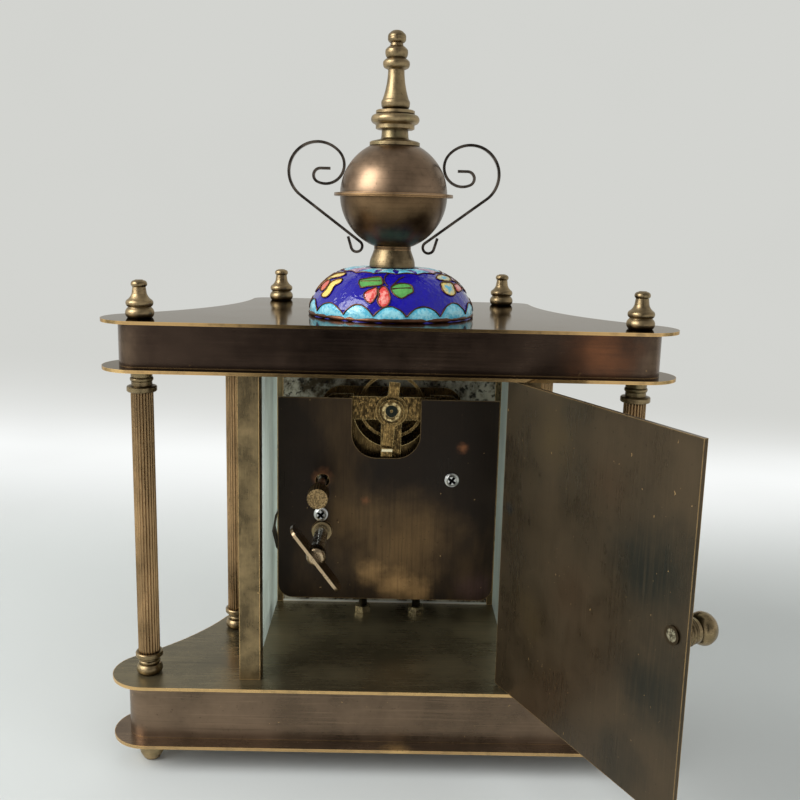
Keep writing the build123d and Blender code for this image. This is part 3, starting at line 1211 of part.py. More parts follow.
def door_panel():
    """Plain sheet with a pin at each end of its hinge edge and a hole for the knob's shank."""
    x, y = hinge_place()
    left = x - DOOR_PIN_INSET
    half = DOOR_THICKNESS / 2
    low, high = DECK + DOOR_END_GAP, CEILING - DOOR_END_GAP
    sheet = block(left, left + DOOR_WIDTH, -y - half, -y + half, low, high)
    hole = Rotation(90, 0, 0) * Cylinder(KNOB_SHANK_RADIUS + PIVOT_PLAY, 2 * DOOR_THICKNESS)
    sheet -= Pos(left + DOOR_WIDTH - KNOB_EDGE_INSET, y, DECK + KNOB_HEIGHT) * hole
    pins = extrude(Circle(DOOR_PIN_RADIUS), amount=COLUMN_HEIGHT + 2 * PLATE_THICKNESS)
    return swung(sheet + Pos(x, y, DECK - PLATE_THICKNESS) * pins)


def door_knob():
    """Turned knob outside, its shank through the door and riveted over inside."""
    x, y = hinge_place()
    shares = ((0.85, 0), (0.85, 0.1), (0.5, 0.2, -0.025), (0.5, 0.3), (0.8, 0.4), (0.8, 0.48),
              (0.68, 0.52), (1, 0.66, 0.05), (1, 0.8, 0.04), (0.4, 1, 0.125))
    rivet = [(RIVET_RADIUS, -DOOR_THICKNESS - RIVET_HEIGHT), (RIVET_RADIUS, -DOOR_THICKNESS),
             (KNOB_SHANK_RADIUS, -DOOR_THICKNESS), (KNOB_SHANK_RADIUS, 0)]
    knob = lathe_work(shares, KNOB_RADIUS, KNOB_LENGTH) + turned(rivet)
    knob_x = x - DOOR_PIN_INSET + DOOR_WIDTH - KNOB_EDGE_INSET
    place = Pos(knob_x, y + DOOR_THICKNESS / 2, DECK + KNOB_HEIGHT)
    return swung(place * Rotation(-90, 0, 0) * knob)


# ---- the parts ------------------------------------------------------------------------------
def main():
    os.makedirs("parts", exist_ok=True)
    write("feet", *feet())
    write("base_bottom_plate", base_bottom_plate())
    write("base_skirt", box_skirt(FOOT_HEIGHT, BASE_BOX_HEIGHT))
    write("base_top_plate", base_top_plate())
    write("column_bases", *column_bases())
    write("column_shafts", *column_shafts())
    write("column_capitals", *column_capitals())
    write("canopy_bottom_plate", canopy_bottom_plate())
    write("canopy_skirt", box_skirt(CEILING, CANOPY_BOX_HEIGHT))
    write("canopy_top_plate", canopy_top_plate())
    write("corner_finials", *corner_finials())
    write("tie_rods", *tie_rods())
    write("rear_posts", *rear_posts())
    write("front_posts", *front_posts())
    write("left_glass", mirrored(side_glass()))
    write("right_glass", side_glass())
    write("front_panel", front_panel())
    write("dial", dial())
    write("bezel", bezel())
    write("crystal", crystal())
    write("dome", dome())
    write("pedestal", pedestal())
    write("globe_lower", globe_lower())
    write("globe_upper", globe_upper())
    write("globe_neck", globe_neck())
    write("spire_collar", spire_collar())
    write("spire", spire())
    write("scroll_handle_right", scroll_handle())
    write("scroll_handle_left", mirrored(scroll_handle()))
    write("centre_rod", *centre_rod())
    write("rear_plate", rear_plate())
    write("front_plate", front_plate())
    write("pillars", *pillars())
    write("cover", cover())
    write("cover_screws", *cover_screws())
    write("mounting_nuts", *mounting_nuts())
    write("balance_bridge", balance_bridge())
    write("winding_bush", winding_bush())
    write("mainspring", mainspring())
    write("winding_arbor", winding_arbor())
    write("winding_key", winding_key())
    write("great_wheel", great_wheel())
    write("click", click())
    write("intermediate_wheel", intermediate_wheel())
    write("centre_wheel", centre_wheel())
    write("third_wheel", third_wheel())
    write("escape_wheel", escape_wheel())
    write("pallet_lever", pallet_lever())
    write("balance_wheel", balance_wheel())
    write("hairspring", hairspring())
    write("regulator", regulator())
    write("cannon_pinion", cannon_pinion())
    write("minute_hand", minute_hand())
    write("hour_wheel", hour_wheel())
    write("hour_hand", hour_hand())
    write("minute_wheel", minute_wheel())
    write("setting_arbor", setting_arbor())
    write("setting_knob", setting_knob())
    write("door_panel", door_panel())
    write("door_knob", door_knob())


main()
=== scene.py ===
"""Dresses a brass mantel clock with an open back door: metals, glass, enamel dome, dial, screws."""

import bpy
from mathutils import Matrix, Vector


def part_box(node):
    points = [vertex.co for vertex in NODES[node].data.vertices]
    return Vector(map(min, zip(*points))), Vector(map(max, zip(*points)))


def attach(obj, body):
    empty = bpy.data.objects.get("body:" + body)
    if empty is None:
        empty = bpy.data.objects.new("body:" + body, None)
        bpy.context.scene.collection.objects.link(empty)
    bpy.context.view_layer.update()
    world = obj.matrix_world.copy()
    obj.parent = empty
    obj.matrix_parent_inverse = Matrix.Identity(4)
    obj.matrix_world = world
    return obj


bl_info = {
    "name": "Enamel Dome Mantel Clock",
    "version": (1, 0, 0),
    "blender": (4, 5, 0),
    "location": "3D View > Sidebar > Clock",
    "description": "Finishes and fine pieces of a six-column brass clock with an enamel dome",
    "category": "Object",
}

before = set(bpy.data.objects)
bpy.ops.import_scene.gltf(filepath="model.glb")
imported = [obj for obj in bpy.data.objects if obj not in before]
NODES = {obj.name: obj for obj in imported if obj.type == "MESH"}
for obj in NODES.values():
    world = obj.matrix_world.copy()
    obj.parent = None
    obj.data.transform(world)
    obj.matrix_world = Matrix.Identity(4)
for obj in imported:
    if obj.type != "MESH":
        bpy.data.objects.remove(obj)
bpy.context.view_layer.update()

import math
import random

import bmesh
import bpy
from bpy.props import FloatProperty, FloatVectorProperty, IntProperty, PointerProperty
from mathutils import Matrix, Vector

MM = 0.001


def shade(red, green, blue):
    """A screen colour, 0 to 255 each, as the linear values that shaders use."""
    return tuple(
        c / 12.92 if c <= 0.04045 else ((c + 0.055) / 1.055) ** 2.4
        for c in (red / 255, green / 255, blue / 255)
    )


def dim(tone, amount):
    """A colour made darker or lighter by a factor."""
    return tuple(min(1.0, c * amount) for c in tone[:3])


def colour(name, description, *screen):
    """A colour that can be changed in the sidebar."""
    return FloatVectorProperty(
        name=name, description=description, subtype="COLOR", min=0.0, max=1.0, default=shade(*screen)
    )


def length(name, description, millimetres):
    """A length that can be changed in the sidebar."""
    return FloatProperty(
        name=name, description=description, default=millimetres * MM, min=0.0,
        unit="LENGTH", subtype="DISTANCE", precision=5,
    )


def share(name, description, value):
    """A share from 0 to 1 that can be changed in the sidebar."""
    return FloatProperty(
        name=name, description=description, default=value, min=0.0, max=1.0, subtype="FACTOR"
    )


class ClockMetals(bpy.types.PropertyGroup):
    """Colours of the clock's metals."""

    plate_patina: colour("Plate patina", "Dark bronze of the flat plates", 80, 70, 56)
    floor_patina: colour("Deck patina", "Olive bronze of the deck that the case stands on", 114, 104, 79)
    canopy_patina: colour("Canopy patina", "Near black bronze of the canopy's skirt", 68, 54, 44)
    skirt_patina: colour("Base patina", "Golden brown of the base's skirt", 118, 99, 80)
    worn_edge: colour("Worn edge", "Bare brass where an edge has rubbed through", 228, 188, 126)
    copper_stain: colour("Copper stain", "Copper red that shows through the patina", 150, 96, 62)
    column: colour("Column brass", "Golden brown of the fluted columns", 176, 144, 104)
    turned: colour("Turned brass", "Aged brass of the finials, feet, spire and knobs", 156, 136, 102)
    post: colour("Post brass", "Olive brass of the four glass posts", 128, 110, 78)
    door: colour("Door patina", "Olive brown of the door", 82, 69, 51)
    cover: colour("Cover patina", "Very dark brown of the movement cover", 36, 27, 18)
    # painted reflection: a golden tone laid low on the cover
    cover_painted_reflection: colour("Cover painted reflection", "Golden reflection painted low on the movement cover", 205, 162, 106)
    globe: colour("Globe bronze", "Satin bronze of the globe's upper half", 140, 117, 94)
    # painted shade: the lower globe's colour is a darker copy of the globe's bronze
    globe_low: colour("Lower globe", "Globe bronze painted darker on the lower half as shade", 112, 90, 65)
    movement: colour("Movement brass", "Grained brass of wheels and bridges", 146, 118, 72)
    spring: colour("Spring steel", "Dark coiled springs", 70, 62, 54)
    strip: colour("Handle strip", "Grey brown strip of the scroll handles", 108, 98, 88)
    steel: colour("Bright steel", "Screws, nuts and arbors", 214, 214, 210)


class EnamelDome(bpy.types.PropertyGroup):
    """Sizes and colours of the enamel dome's ornament."""

    scallops: IntProperty(
        name="Scallops", description="Turquoise scallops round the rim", default=15, min=6, max=40
    )
    scallop_rise: length("Scallop rise", "Height of a scallop along the dome", 5.3)
    cell_lift: length("Cell lift", "How far an enamel cell stands proud in its middle", 0.28)
    wire_radius: length("Wire radius", "Radius of the copper wires between the cells", 0.22)
    rim_radius: length("Rim radius", "Half the height of the rolled copper rim", 0.75)
    cobalt: colour("Cobalt", "Ground colour of the dome", 26, 16, 158)
    turquoise: colour("Turquoise", "Scallops round the rim", 78, 176, 204)
    pale: colour("Pale blue", "Middle of the scallops and the top band", 150, 214, 226)
    red: colour("Red", "Petals and flower middles", 206, 62, 58)
    pink: colour("Pink", "Paler part of the red petals", 232, 150, 140)
    green: colour("Leaf green", "Leaves", 84, 148, 74)
    yellow: colour("Yellow", "Yellow petals", 236, 206, 104)
    lilac: colour("Lilac", "Small pale petal and parts of the top band", 190, 150, 176)
    orange: colour("Orange", "Middle of the yellow flower", 222, 104, 62)
    wire: colour("Copper wire", "Fired copper wires and the rim", 118, 82, 62)


class DialFace(bpy.types.PropertyGroup):
    """Sizes and colours of the dial and its markings."""

    numeral_height: length("Numeral height", "Height of the hour numerals", 6.2)
    numeral_ring: length("Numeral ring", "Radius of the ring that the numerals stand on", 23.2)
    track_radius: length("Track radius", "Radius of the minute track", 28.6)
    ivory: colour("Dial white", "Fired white of the dial", 236, 232, 220)
    ink: colour("Ink", "Numerals, minute track and hands", 18, 18, 20)


class ClearPanes(bpy.types.PropertyGroup):
    """The glass of the sides and of the dial."""

    tint: colour("Tint", "Pale green of the glass edge", 214, 226, 216)
    edge: colour("Cut edge", "Pale green of the panes' cut edges", 190, 208, 196)
    film: share("Film", "Dust and film that greys the panes", 0.95)


class StudioStage(bpy.types.PropertyGroup):
    """Floor, backdrop, lamps and camera."""

    floor: colour("Floor", "Pale grey of the floor", 208, 212, 210)
    bright_band: colour("Bright band", "Where the floor turns up into the backdrop", 250, 252, 251)
    wall: colour("Backdrop", "Pale grey of the backdrop", 211, 212, 208)
    shaded_side: share("Shaded side", "How much darker the floor is on one side", 0.02)
    front_level: share("Front level", "Light of the sky in front, beside that of the sky behind", 0.5)
    overhead_level: share(
        "Overhead level", "Light of the sky overhead, beside that of the sky behind", 0.55
    )
    wall_side_level: share(
        "Wall side level", "Light from the side away from the windows, above the floor", 0.6
    )
    sky: FloatProperty(
        name="Sky", description="Strength of the plain surrounding light", default=0.9, min=0
    )
    key_power: FloatProperty(
        name="Key lamp", description="Power of the large lamp", default=12.0, min=0, unit="POWER"
    )
    fill_power: FloatProperty(
        name="Fill lamp", description="Power of the weak lamp", default=5.5, min=0, unit="POWER"
    )
    lens: FloatProperty(name="Lens", description="Focal length in millimetres", default=42.56, min=1)


class Graph:
    """Shader nodes that are made, set and linked in one go."""

    def __init__(self, tree):
        self.tree = tree

    def add(self, kind, inputs=None, **settings):
        """A node of that kind, with its settings made and its inputs linked or set."""
        node = self.tree.nodes.new(kind)
        for name, value in settings.items():
            setattr(node, name, value)
        for key, value in (inputs or {}).items():
            self.feed(node.inputs[key], value)
        return node

    def feed(self, socket, value):
        """Links one input to a node's output, or sets it to a value."""
        if isinstance(value, bpy.types.NodeSocket):
            self.tree.links.new(value, socket)
        elif socket.type == "RGBA":
            socket.default_value = (*value[:3], 1.0)
        else:
            socket.default_value = value

    def span(self, value, low, high, start=0.0, end=1.0):
        """Maps low to start and high to end, and holds the ends."""
        ends = {0: value, 1: low, 2: high, 3: start, 4: end}
        soft = {"clamp": True, "interpolation_type": "SMOOTHSTEP"}
        return self.add("ShaderNodeMapRange", ends, **soft).outputs[0]

    def sum(self, operation, first, second=0.0):
        """One sum on two numbers."""
        return self.add("ShaderNodeMath", {0: first, 1: second}, operation=operation).outputs[0]

    def product(self, first, second):
        """Two numbers multiplied."""
        return self.sum("MULTIPLY", first, second)

    def vector(self, operation, first, second):
        """One sum on two vectors, which gives a number for DISTANCE and DOT_PRODUCT."""
        node = self.add("ShaderNodeVectorMath", {0: first, 1: second}, operation=operation)
        return node.outputs["Value" if operation in ("DISTANCE", "DOT_PRODUCT") else "Vector"]

    def part(self, vector, name):
        """One of X, Y and Z of a vector."""
        return self.add("ShaderNodeSeparateXYZ", {0: vector}).outputs[name]


class Finish(Graph):
    """One material: tones are laid one over another and end in a single shader."""

    def __init__(self, name, metallic=1.0, roughness=0.35):
        self.material = bpy.data.materials.new(name)
        self.material.use_nodes = True
        super().__init__(self.material.node_tree)
        self.shader = self.tree.nodes["Principled BSDF"]
        self.set("Metallic", metallic)
        self.set("Roughness", roughness)
        self.place = self.add("ShaderNodeTexCoord").outputs["Object"]
        self.body = self.normal = None

    def set(self, name, value):
        """Sets or links one input of the shader."""
        self.feed(self.shader.inputs[name], value)

    def noise(self, size, stretch=(1, 1, 1), detail=4.0, roughness=0.6, shift=0.0, distortion=0.0):
        """Uneven spots about size metres across, drawn out along each axis by stretch."""
        scale = [1 / (size * s) for s in stretch]
        place = {"Vector": self.place, "Scale": scale, "Location": (shift, shift * 1.7, -shift)}
        grain = {
            "Vector": self.add("ShaderNodeMapping", place).outputs[0],
            "Scale": 1.0,
            "Detail": detail,
            "Roughness": roughness,
            "Distortion": distortion,
        }
        return self.add("ShaderNodeTexNoise", grain).outputs["Fac"]

    def mix(self, below, above, amount):
        """The second colour laid over the first."""
        tones = {0: amount, 6: below, 7: above}
        return self.add("ShaderNodeMix", tones, data_type="RGBA").outputs[2]

    def start(self, dark, light, value, low=0.3, high=0.7):
        """The first colour: dark where value is low and light where it is high."""
        self.body = self.mix(dark, light, self.span(value, low, high))

    def lay(self, tone, value, low, high, most=1.0):
        """Lays a tone over the colour so far, not at all at low and by most at high."""
        self.body = self.mix(self.body, tone, self.span(value, low, high, 0.0, most))

    def lay_by(self, tone, amount, factor=1.0):
        """Lays a tone over the colour so far, by an amount times a factor."""
        self.body = self.mix(self.body, tone, self.product(amount, factor))

    def facing(self, name):
        """One of X, Y and Z of the way that the surface looks."""
        return self.part(self.add("ShaderNodeNewGeometry").outputs["Normal"], name)

    def edges(self, width, low=0.02, high=0.22):
        """1 along sharp edges and 0 on the flats; lighter tones laid by it paint edge highlights as well
        as wear.
        """
        rounded = self.add("ShaderNodeBevel", {"Radius": width}, samples=6).outputs[0]
        straight = self.add("ShaderNodeNewGeometry").outputs["Normal"]
        return self.span(self.vector("DOT_PRODUCT", rounded, straight), 1 - low, 1 - high)

    def painted_hollow_shade(self, reach):
        """1 in grooves and corners, where ambient occlusion finds shade, and 0 in the open: tones laid by
        it are painted shade.
        """
        open_share = self.add("ShaderNodeAmbientOcclusion", {"Distance": reach}, samples=6)
        return self.span(open_share.outputs["AO"], 0.95, 0.35)

    def disc(self, centre, radius):
        """A crisp round patch on a face that looks front or back."""
        flat = self.vector("MULTIPLY", self.place, (1, 0, 1))
        apart = self.vector("DISTANCE", flat, (centre[0], 0, centre[2]))
        return self.span(apart, radius * 1.05, radius * 0.95)

    def spot(self, centre, radius, uneven=0.5):
        """A soft round patch about a point."""
        apart = self.vector("DISTANCE", self.place, centre)
        wobble = self.product(self.noise(radius * 0.6, detail=5), radius * uneven * 2)
        return self.span(self.sum("ADD", apart, wobble), radius * (1.0 + uneven), radius * uneven * 0.9)

    def bump(self, height, depth, strength=1.0):
        """Raises the surface by depth metres where height is 1."""
        inputs = {"Height": height, "Distance": depth, "Strength": strength}
        if self.normal is not None:
            inputs["Normal"] = self.normal
        self.normal = self.add("ShaderNodeBump", inputs).outputs[0]

    def blend(self, amount, first, second):
        """Two shaders in one, the second by amount."""
        shaders = {0: amount, 1: first.outputs[0], 2: second.outputs[0]}
        return self.add("ShaderNodeMixShader", shaders)

    def end_in(self, shader):
        """Shows this shader in place of the first one."""
        self.feed(self.tree.nodes["Material Output"].inputs["Surface"], shader.outputs[0])
        return self.material

    def done(self, roughness=None):
        """The material, once its colour, roughness and relief are linked."""
        self.set("Base Color", self.body)
        if roughness is not None:
            self.set("Roughness", roughness)
        if self.normal is not None:
            self.set("Normal", self.normal)
        return self.material


def brushed_plate(
    name, base, edge, stain, streak, roughness=0.3, stain_share=0.3, metallic=0.8, cloud_size=0.022,
    cloud=(0.7, 1.25), line_share=0.45, marks=(), nicks=0.5, wear=1.0, rim=0.0, slant_tone=None,
):
    """Patinated sheet: brush lines, clouds, nicks, bare edges that are also a painted edge highlight;
    marks are (centre, radius, tone, share).
    """
    coat = Finish(name, metallic, roughness)
    if slant_tone:
        coat.set("Specular Tint", slant_tone)
    drift = coat.noise(cloud_size, detail=6, roughness=0.62)
    coat.start(dim(base, cloud[0]), dim(base, cloud[1]), drift, 0.3, 0.72)
    broad, fine = ([max(1.0, s * k) for s in streak] for k in (0.06, 0.5))
    coat.lay(stain, coat.noise(0.03, broad, 5, shift=3.1), 0.5, 0.78, stain_share)
    brushed_through = coat.span(coat.noise(0.0009, fine), 0.2, 0.6, 0.6, 1.0)
    for centre, radius, tone, amount in marks:
        coat.lay_by(tone, coat.product(coat.spot(centre, radius), brushed_through), amount)
    lines = coat.noise(0.0005, streak, 3, 0.7)
    coat.lay(dim(base, 2.1), lines, 0.5, 0.85, line_share)
    coat.lay(dim(base, 0.45), coat.noise(0.0007, streak, 2, shift=5.0), 0.55, 0.85, line_share)
    coat.lay(dim(base, 0.3), coat.noise(0.0011, detail=2, shift=7.0), 0.66, 0.76, 0.5)
    nick = coat.noise(0.0009, (1, 1, 1.6), 1, shift=11.0, distortion=0.6)
    coat.lay(edge, nick, 0.775, 0.81, nicks)
    rubbed = coat.span(coat.noise(0.004, shift=9.0), 0.25, 0.55, 0.55, 1.0)
    # bare brass along rubbed edges, laid by the edge mask, which is also a painted edge highlight
    coat.lay_by(edge, coat.edges(0.45 * MM, 0.01, 0.13), coat.product(rubbed, wear))
    if rim:
        upright = coat.sum("ABSOLUTE", coat.facing("Z"))
        coat.lay_by(dim(edge, 0.9), coat.span(upright, 0.75, 0.4, 0.0, rim), rubbed)
    coat.bump(lines, 0.0000015)
    cloudy = coat.span(drift, 0.3, 0.7, roughness * 0.8, roughness * 1.3)
    return coat.done(coat.product(coat.span(lines, 0.3, 0.7, 0.9, 1.2), cloudy))


def turned_finish(name, base, groove_shade=0.85, roughness=0.34, speck=0.55, green=0.12, rivet=None):
    """Aged turned brass: painted shade in grooves, pits, turning lines, a little green, edges lightened as
    painted highlight and wear, and a rivet on a knob.
    """
    coat = Finish(name, 1.0, roughness)
    cloud = coat.noise(0.006, detail=6, roughness=0.65)
    coat.start(dim(base, 0.62), dim(base, 1.2), cloud)
    tarnish = (base[0] * 0.62, base[1] * 0.85, base[2] * 0.75)
    coat.lay(tarnish, coat.noise(0.009, shift=4.0), 0.5, 0.75, min(1.0, green * 3))
    pits = coat.noise(0.0007, detail=3, shift=2.0)
    coat.lay(dim(base, 0.2), pits, 0.58, 0.72, speck)
    shed = coat.noise(0.0003, (30, 30, 1), 2, shift=8.0)
    coat.lay(dim(base, 0.5), shed, 0.52, 0.78, 0.45)
    # painted shade: ambient occlusion darkens grooves and corners
    coat.lay_by(dim(base, 0.12), coat.painted_hollow_shade(1.6 * MM), groove_shade)
    # painted highlight and wear: a lighter tone along sharp edges
    coat.lay_by(dim(base, 1.5), coat.edges(0.3 * MM, 0.02, 0.2), 0.45)
    if rivet:
        rivet_end(coat, *rivet)
    coat.bump(pits, -0.00005, 0.6)
    coat.bump(shed, 0.000005)
    return coat.done(coat.span(cloud, 0.3, 0.7, roughness - 0.05, roughness + 0.14))


def rivet_end(coat, centre, surround, outer=3.4 * MM, inner=1.45 * MM):
    """Lays a rough grey rivet end, with a dark surround, over a knob's brass."""
    apart = coat.vector("DISTANCE", coat.place, centre)
    coat.lay(surround, apart, outer + 0.2 * MM, outer)
    grains = coat.span(coat.noise(0.0007), 0.35, 0.65)
    grey = coat.mix(shade(84, 76, 60), shade(196, 188, 160), grains)
    coat.lay(grey, apart, inner + 0.3 * MM, inner)


def fluted_finish(name, base):
    """Golden brown columns whose flutes are darkened with painted shade, so that the ribs look brighter.
    """
    coat = Finish(name, 1.0, 0.32)
    cloud = coat.noise(0.01, (1, 1, 2.5), 6)
    coat.start(dim(base, 0.55), dim(base, 1.3), cloud, 0.32, 0.7)
    pits = coat.noise(0.0006, detail=3, shift=5.0)
    coat.lay(dim(base, 0.18), pits, 0.56, 0.7, 0.55)
    # painted shade: ambient occlusion darkens the flutes
    coat.lay_by(dim(base, 0.1), coat.painted_hollow_shade(0.9 * MM), 0.9)
    coat.bump(pits, -0.00004, 0.5)
    return coat.done(coat.span(cloud, 0.3, 0.7, 0.24, 0.4))


def satin_globe(name, base, roughness=0.33):
    """Satin bronze with fine turning lines, soft brown clouds, painted shade in its hollows, and a flange
    whose edges are lightened as painted highlight and wear.
    """
    coat = Finish(name, 1.0, roughness)
    cloud = coat.noise(0.012, detail=6)
    coat.start(dim(base, 0.6), dim(base, 1.2), cloud)
    lines = coat.noise(0.0004, (40, 40, 1), 2)
    coat.lay(dim(base, 0.5), lines, 0.5, 0.8, 0.45)
    coat.lay(dim(base, 0.3), coat.noise(0.0008, detail=3, shift=6.0), 0.6, 0.74, 0.5)
    # painted shade: ambient occlusion darkens hollows
    coat.lay_by(dim(base, 0.25), coat.painted_hollow_shade(2.0 * MM), 0.6)
    # painted highlight and wear: a pale tone along sharp edges
    coat.lay_by(shade(206, 164, 112), coat.edges(0.4 * MM, 0.02, 0.2), 0.85)
    coat.bump(lines, 0.000003)
    return coat.done(coat.span(cloud, 0.3, 0.7, roughness - 0.06, roughness + 0.08))


def grained_brass(name, base, cup=None, edge_width=0.25 * MM, stipple=0.0, bend_highlight_height=None):
    """Movement brass; cup is the middle of a hollow painted near black as shade inside a ring painted
    bright as highlight, and the last argument is the height of a bend that gets a painted highlight line.
    """
    coat = Finish(name, 0.9, 0.34)
    coat.start(dim(base, 0.4), dim(base, 1.25), coat.noise(0.005, detail=6))
    grain = coat.noise(0.0003, (1, 1, 8), 3)
    coat.lay(dim(base, 0.3), grain, 0.48, 0.72, 0.7)
    if stipple:
        dots = coat.noise(0.0006, (1, 1, 1.8), 3, shift=6.0)
        coat.lay(dim(base, 0.12), dots, 0.5, 0.42, stipple)
        coat.lay(dim(base, 2.6), dots, 0.56, 0.66, stipple)
        coat.bump(dots, 0.00006)
    # painted shade: ambient occlusion darkens hollows
    coat.lay_by(dim(base, 0.1), coat.painted_hollow_shade(1.4 * MM), 0.75)
    # painted highlight and wear: a pale tone along sharp edges
    coat.lay_by(shade(236, 206, 140), coat.edges(edge_width, 0.01, 0.15), 0.9)
    # painted highlight: a bright ring round the cup; painted shade: a near black disc inside it
    if cup is not None:
        uneven = coat.span(coat.noise(0.0016, shift=2.0), 0.4, 0.6)
        coat.lay_by(coat.mix(shade(110, 90, 54), shade(240, 214, 156), uneven), coat.disc(cup, 3.3 * MM))
        coat.lay_by(shade(40, 44, 38), coat.disc(cup, 2.1 * MM))
    # painted highlight: a pale line along the bend
    if bend_highlight_height is not None:
        away = coat.sum("ABSOLUTE", coat.sum("SUBTRACT", coat.part(coat.place, "Z"), bend_highlight_height))
        coat.lay(shade(255, 240, 200), away, 0.55 * MM, 0.35 * MM)
    coat.bump(grain, 0.000008)
    return coat.done(coat.span(grain, 0.3, 0.7, 0.2, 0.42))


def steel_finish(name, base, roughness=0.22, dark=0.45, hollow=0.95):
    """Steel with fine scratches, darker clouds, edges lightened as painted highlight and wear, and
    recesses blackened with painted shade.
    """
    coat = Finish(name, 1.0, roughness)
    cloud = coat.noise(0.003, detail=6)
    coat.start(dim(base, dark), dim(base, 1.1), cloud, 0.3, 0.66)
    lines = coat.noise(0.00025, (1, 12, 1), 2)
    coat.lay(dim(base, 0.5), lines, 0.55, 0.75, 0.4)
    # painted highlight and wear: a lighter tone along sharp edges
    coat.lay_by(dim(base, 1.4), coat.edges(0.15 * MM), 0.8)
    # painted shade: ambient occlusion blackens recesses
    coat.lay_by(dim(base, 0.03), coat.painted_hollow_shade(1.0 * MM), hollow)
    coat.bump(lines, 0.000002)
    return coat.done(coat.span(cloud, 0.3, 0.7, roughness - 0.04, roughness + 0.12))


def threaded_finish(name, base, axes, radius, pitch):
    """Nut steel whose studs, inside radius of each upright axis, are dark and threaded."""
    coat = Finish(name, 1.0, 0.28)
    cloud = coat.noise(0.003, detail=5)
    coat.start(dim(base, 0.4), dim(base, 1.05), cloud, 0.3, 0.66)
    flat = coat.vector("MULTIPLY", coat.place, (1, 1, 0))
    inside = 0.0
    for x, y in axes:
        apart = coat.vector("DISTANCE", flat, (x, y, 0))
        inside = coat.sum("MAXIMUM", coat.span(apart, radius * 1.04, radius * 1.0), inside)
    turns = coat.sum("SINE", coat.product(coat.part(coat.place, "Z"), 2 * math.pi / pitch))
    thread = coat.product(coat.span(turns, -0.6, 0.8), inside)
    coat.lay_by(coat.mix(dim(base, 0.02), dim(base, 0.12), thread), inside)
    # painted highlight and wear: a lighter tone along sharp edges
    coat.lay_by(dim(base, 1.3), coat.edges(0.2 * MM), 0.6)
    coat.bump(thread, 0.00012, 0.8)
    return coat.done(coat.span(cloud, 0.3, 0.7, 0.22, 0.4))


def blade_finish(name, base, edge_tone):
    """Dark key metal whose faces that look forward are painted bright as a highlight."""
    coat = Finish(name, 1.0, 0.3)
    cloud = coat.noise(0.004, detail=5)
    coat.start(dim(base, 0.55), dim(base, 1.2), cloud)
    # painted highlight: faces that look forward take the bright tone
    coat.lay(edge_tone, coat.facing("Y"), 0.35, 0.85)
    pits = coat.noise(0.0007, detail=3, shift=2.0)
    coat.lay(dim(base, 0.3), pits, 0.58, 0.7, 0.6)
    coat.bump(pits, -0.00004, 0.6)
    return coat.done(coat.span(cloud, 0.3, 0.7, 0.24, 0.4))


def knurled_finish(name, base, centre, rays=32.0):
    """Turned brass whose end face is granular in rays about its axis, which runs front to back."""
    coat = Finish(name, 1.0, 0.34)
    apart = coat.vector("SUBTRACT", coat.place, centre)
    angle = coat.sum("ARCTAN2", coat.part(apart, "Z"), coat.part(apart, "X"))
    ribs = coat.span(coat.sum("SINE", coat.product(angle, rays)), -0.9, 0.7, 0.5, 1.0)
    mark = coat.product(ribs, coat.span(coat.noise(0.00055, detail=3), 0.42, 0.58, 0.15, 1.0))
    coat.body = coat.mix(dim(base, 0.3), dim(base, 1.2), mark)
    coat.lay(dim(base, 0.5), coat.noise(0.003, shift=3.0), 0.5, 0.75, 0.5)
    # painted shade: ambient occlusion darkens hollows
    coat.lay_by(dim(base, 0.12), coat.painted_hollow_shade(1.0 * MM), 0.7)
    coat.bump(mark, 0.00006, 0.7)
    return coat.done(0.36)


def clouded_finish(name, metallic, roughness, dark, light, size, low, high, detail=5, uneven=None):
    """A plain metal or ink in two tones; uneven is the least and most roughness of its clouds."""
    coat = Finish(name, metallic, roughness)
    cloud = coat.noise(size, detail=detail)
    coat.start(dark, light, cloud, low, high)
    return coat.done(coat.span(cloud, low, high, *uneven) if uneven else None)


def enamel(name, edge_tone, middle_tone, mottle, roughness=0.1):
    """Fired glass enamel that turns from one tone at the wire to another in its cell's middle."""
    coat = Finish(name, 0.0, roughness)
    middle = coat.add("ShaderNodeAttribute", attribute_name="middle").outputs["Fac"]
    cloud = coat.noise(0.0012, detail=5, roughness=0.7)
    amount = coat.sum("ADD", middle, coat.span(cloud, 0.3, 0.7, -mottle, mottle))
    coat.start(edge_tone, middle_tone, amount, 0.0, 0.9)
    coat.lay(dim(edge_tone, 0.45), coat.noise(0.0004, detail=2, shift=3.0), 0.64, 0.76, 0.5)
    coat.bump(coat.noise(0.0034, detail=2, shift=1.5), 0.0009, 0.7)
    coat.bump(cloud, 0.00008, 0.6)
    coat.set("Specular IOR Level", 0.4)
    coat.set("Coat Weight", 0.25)
    coat.set("Coat Roughness", 0.05)
    return coat.done()


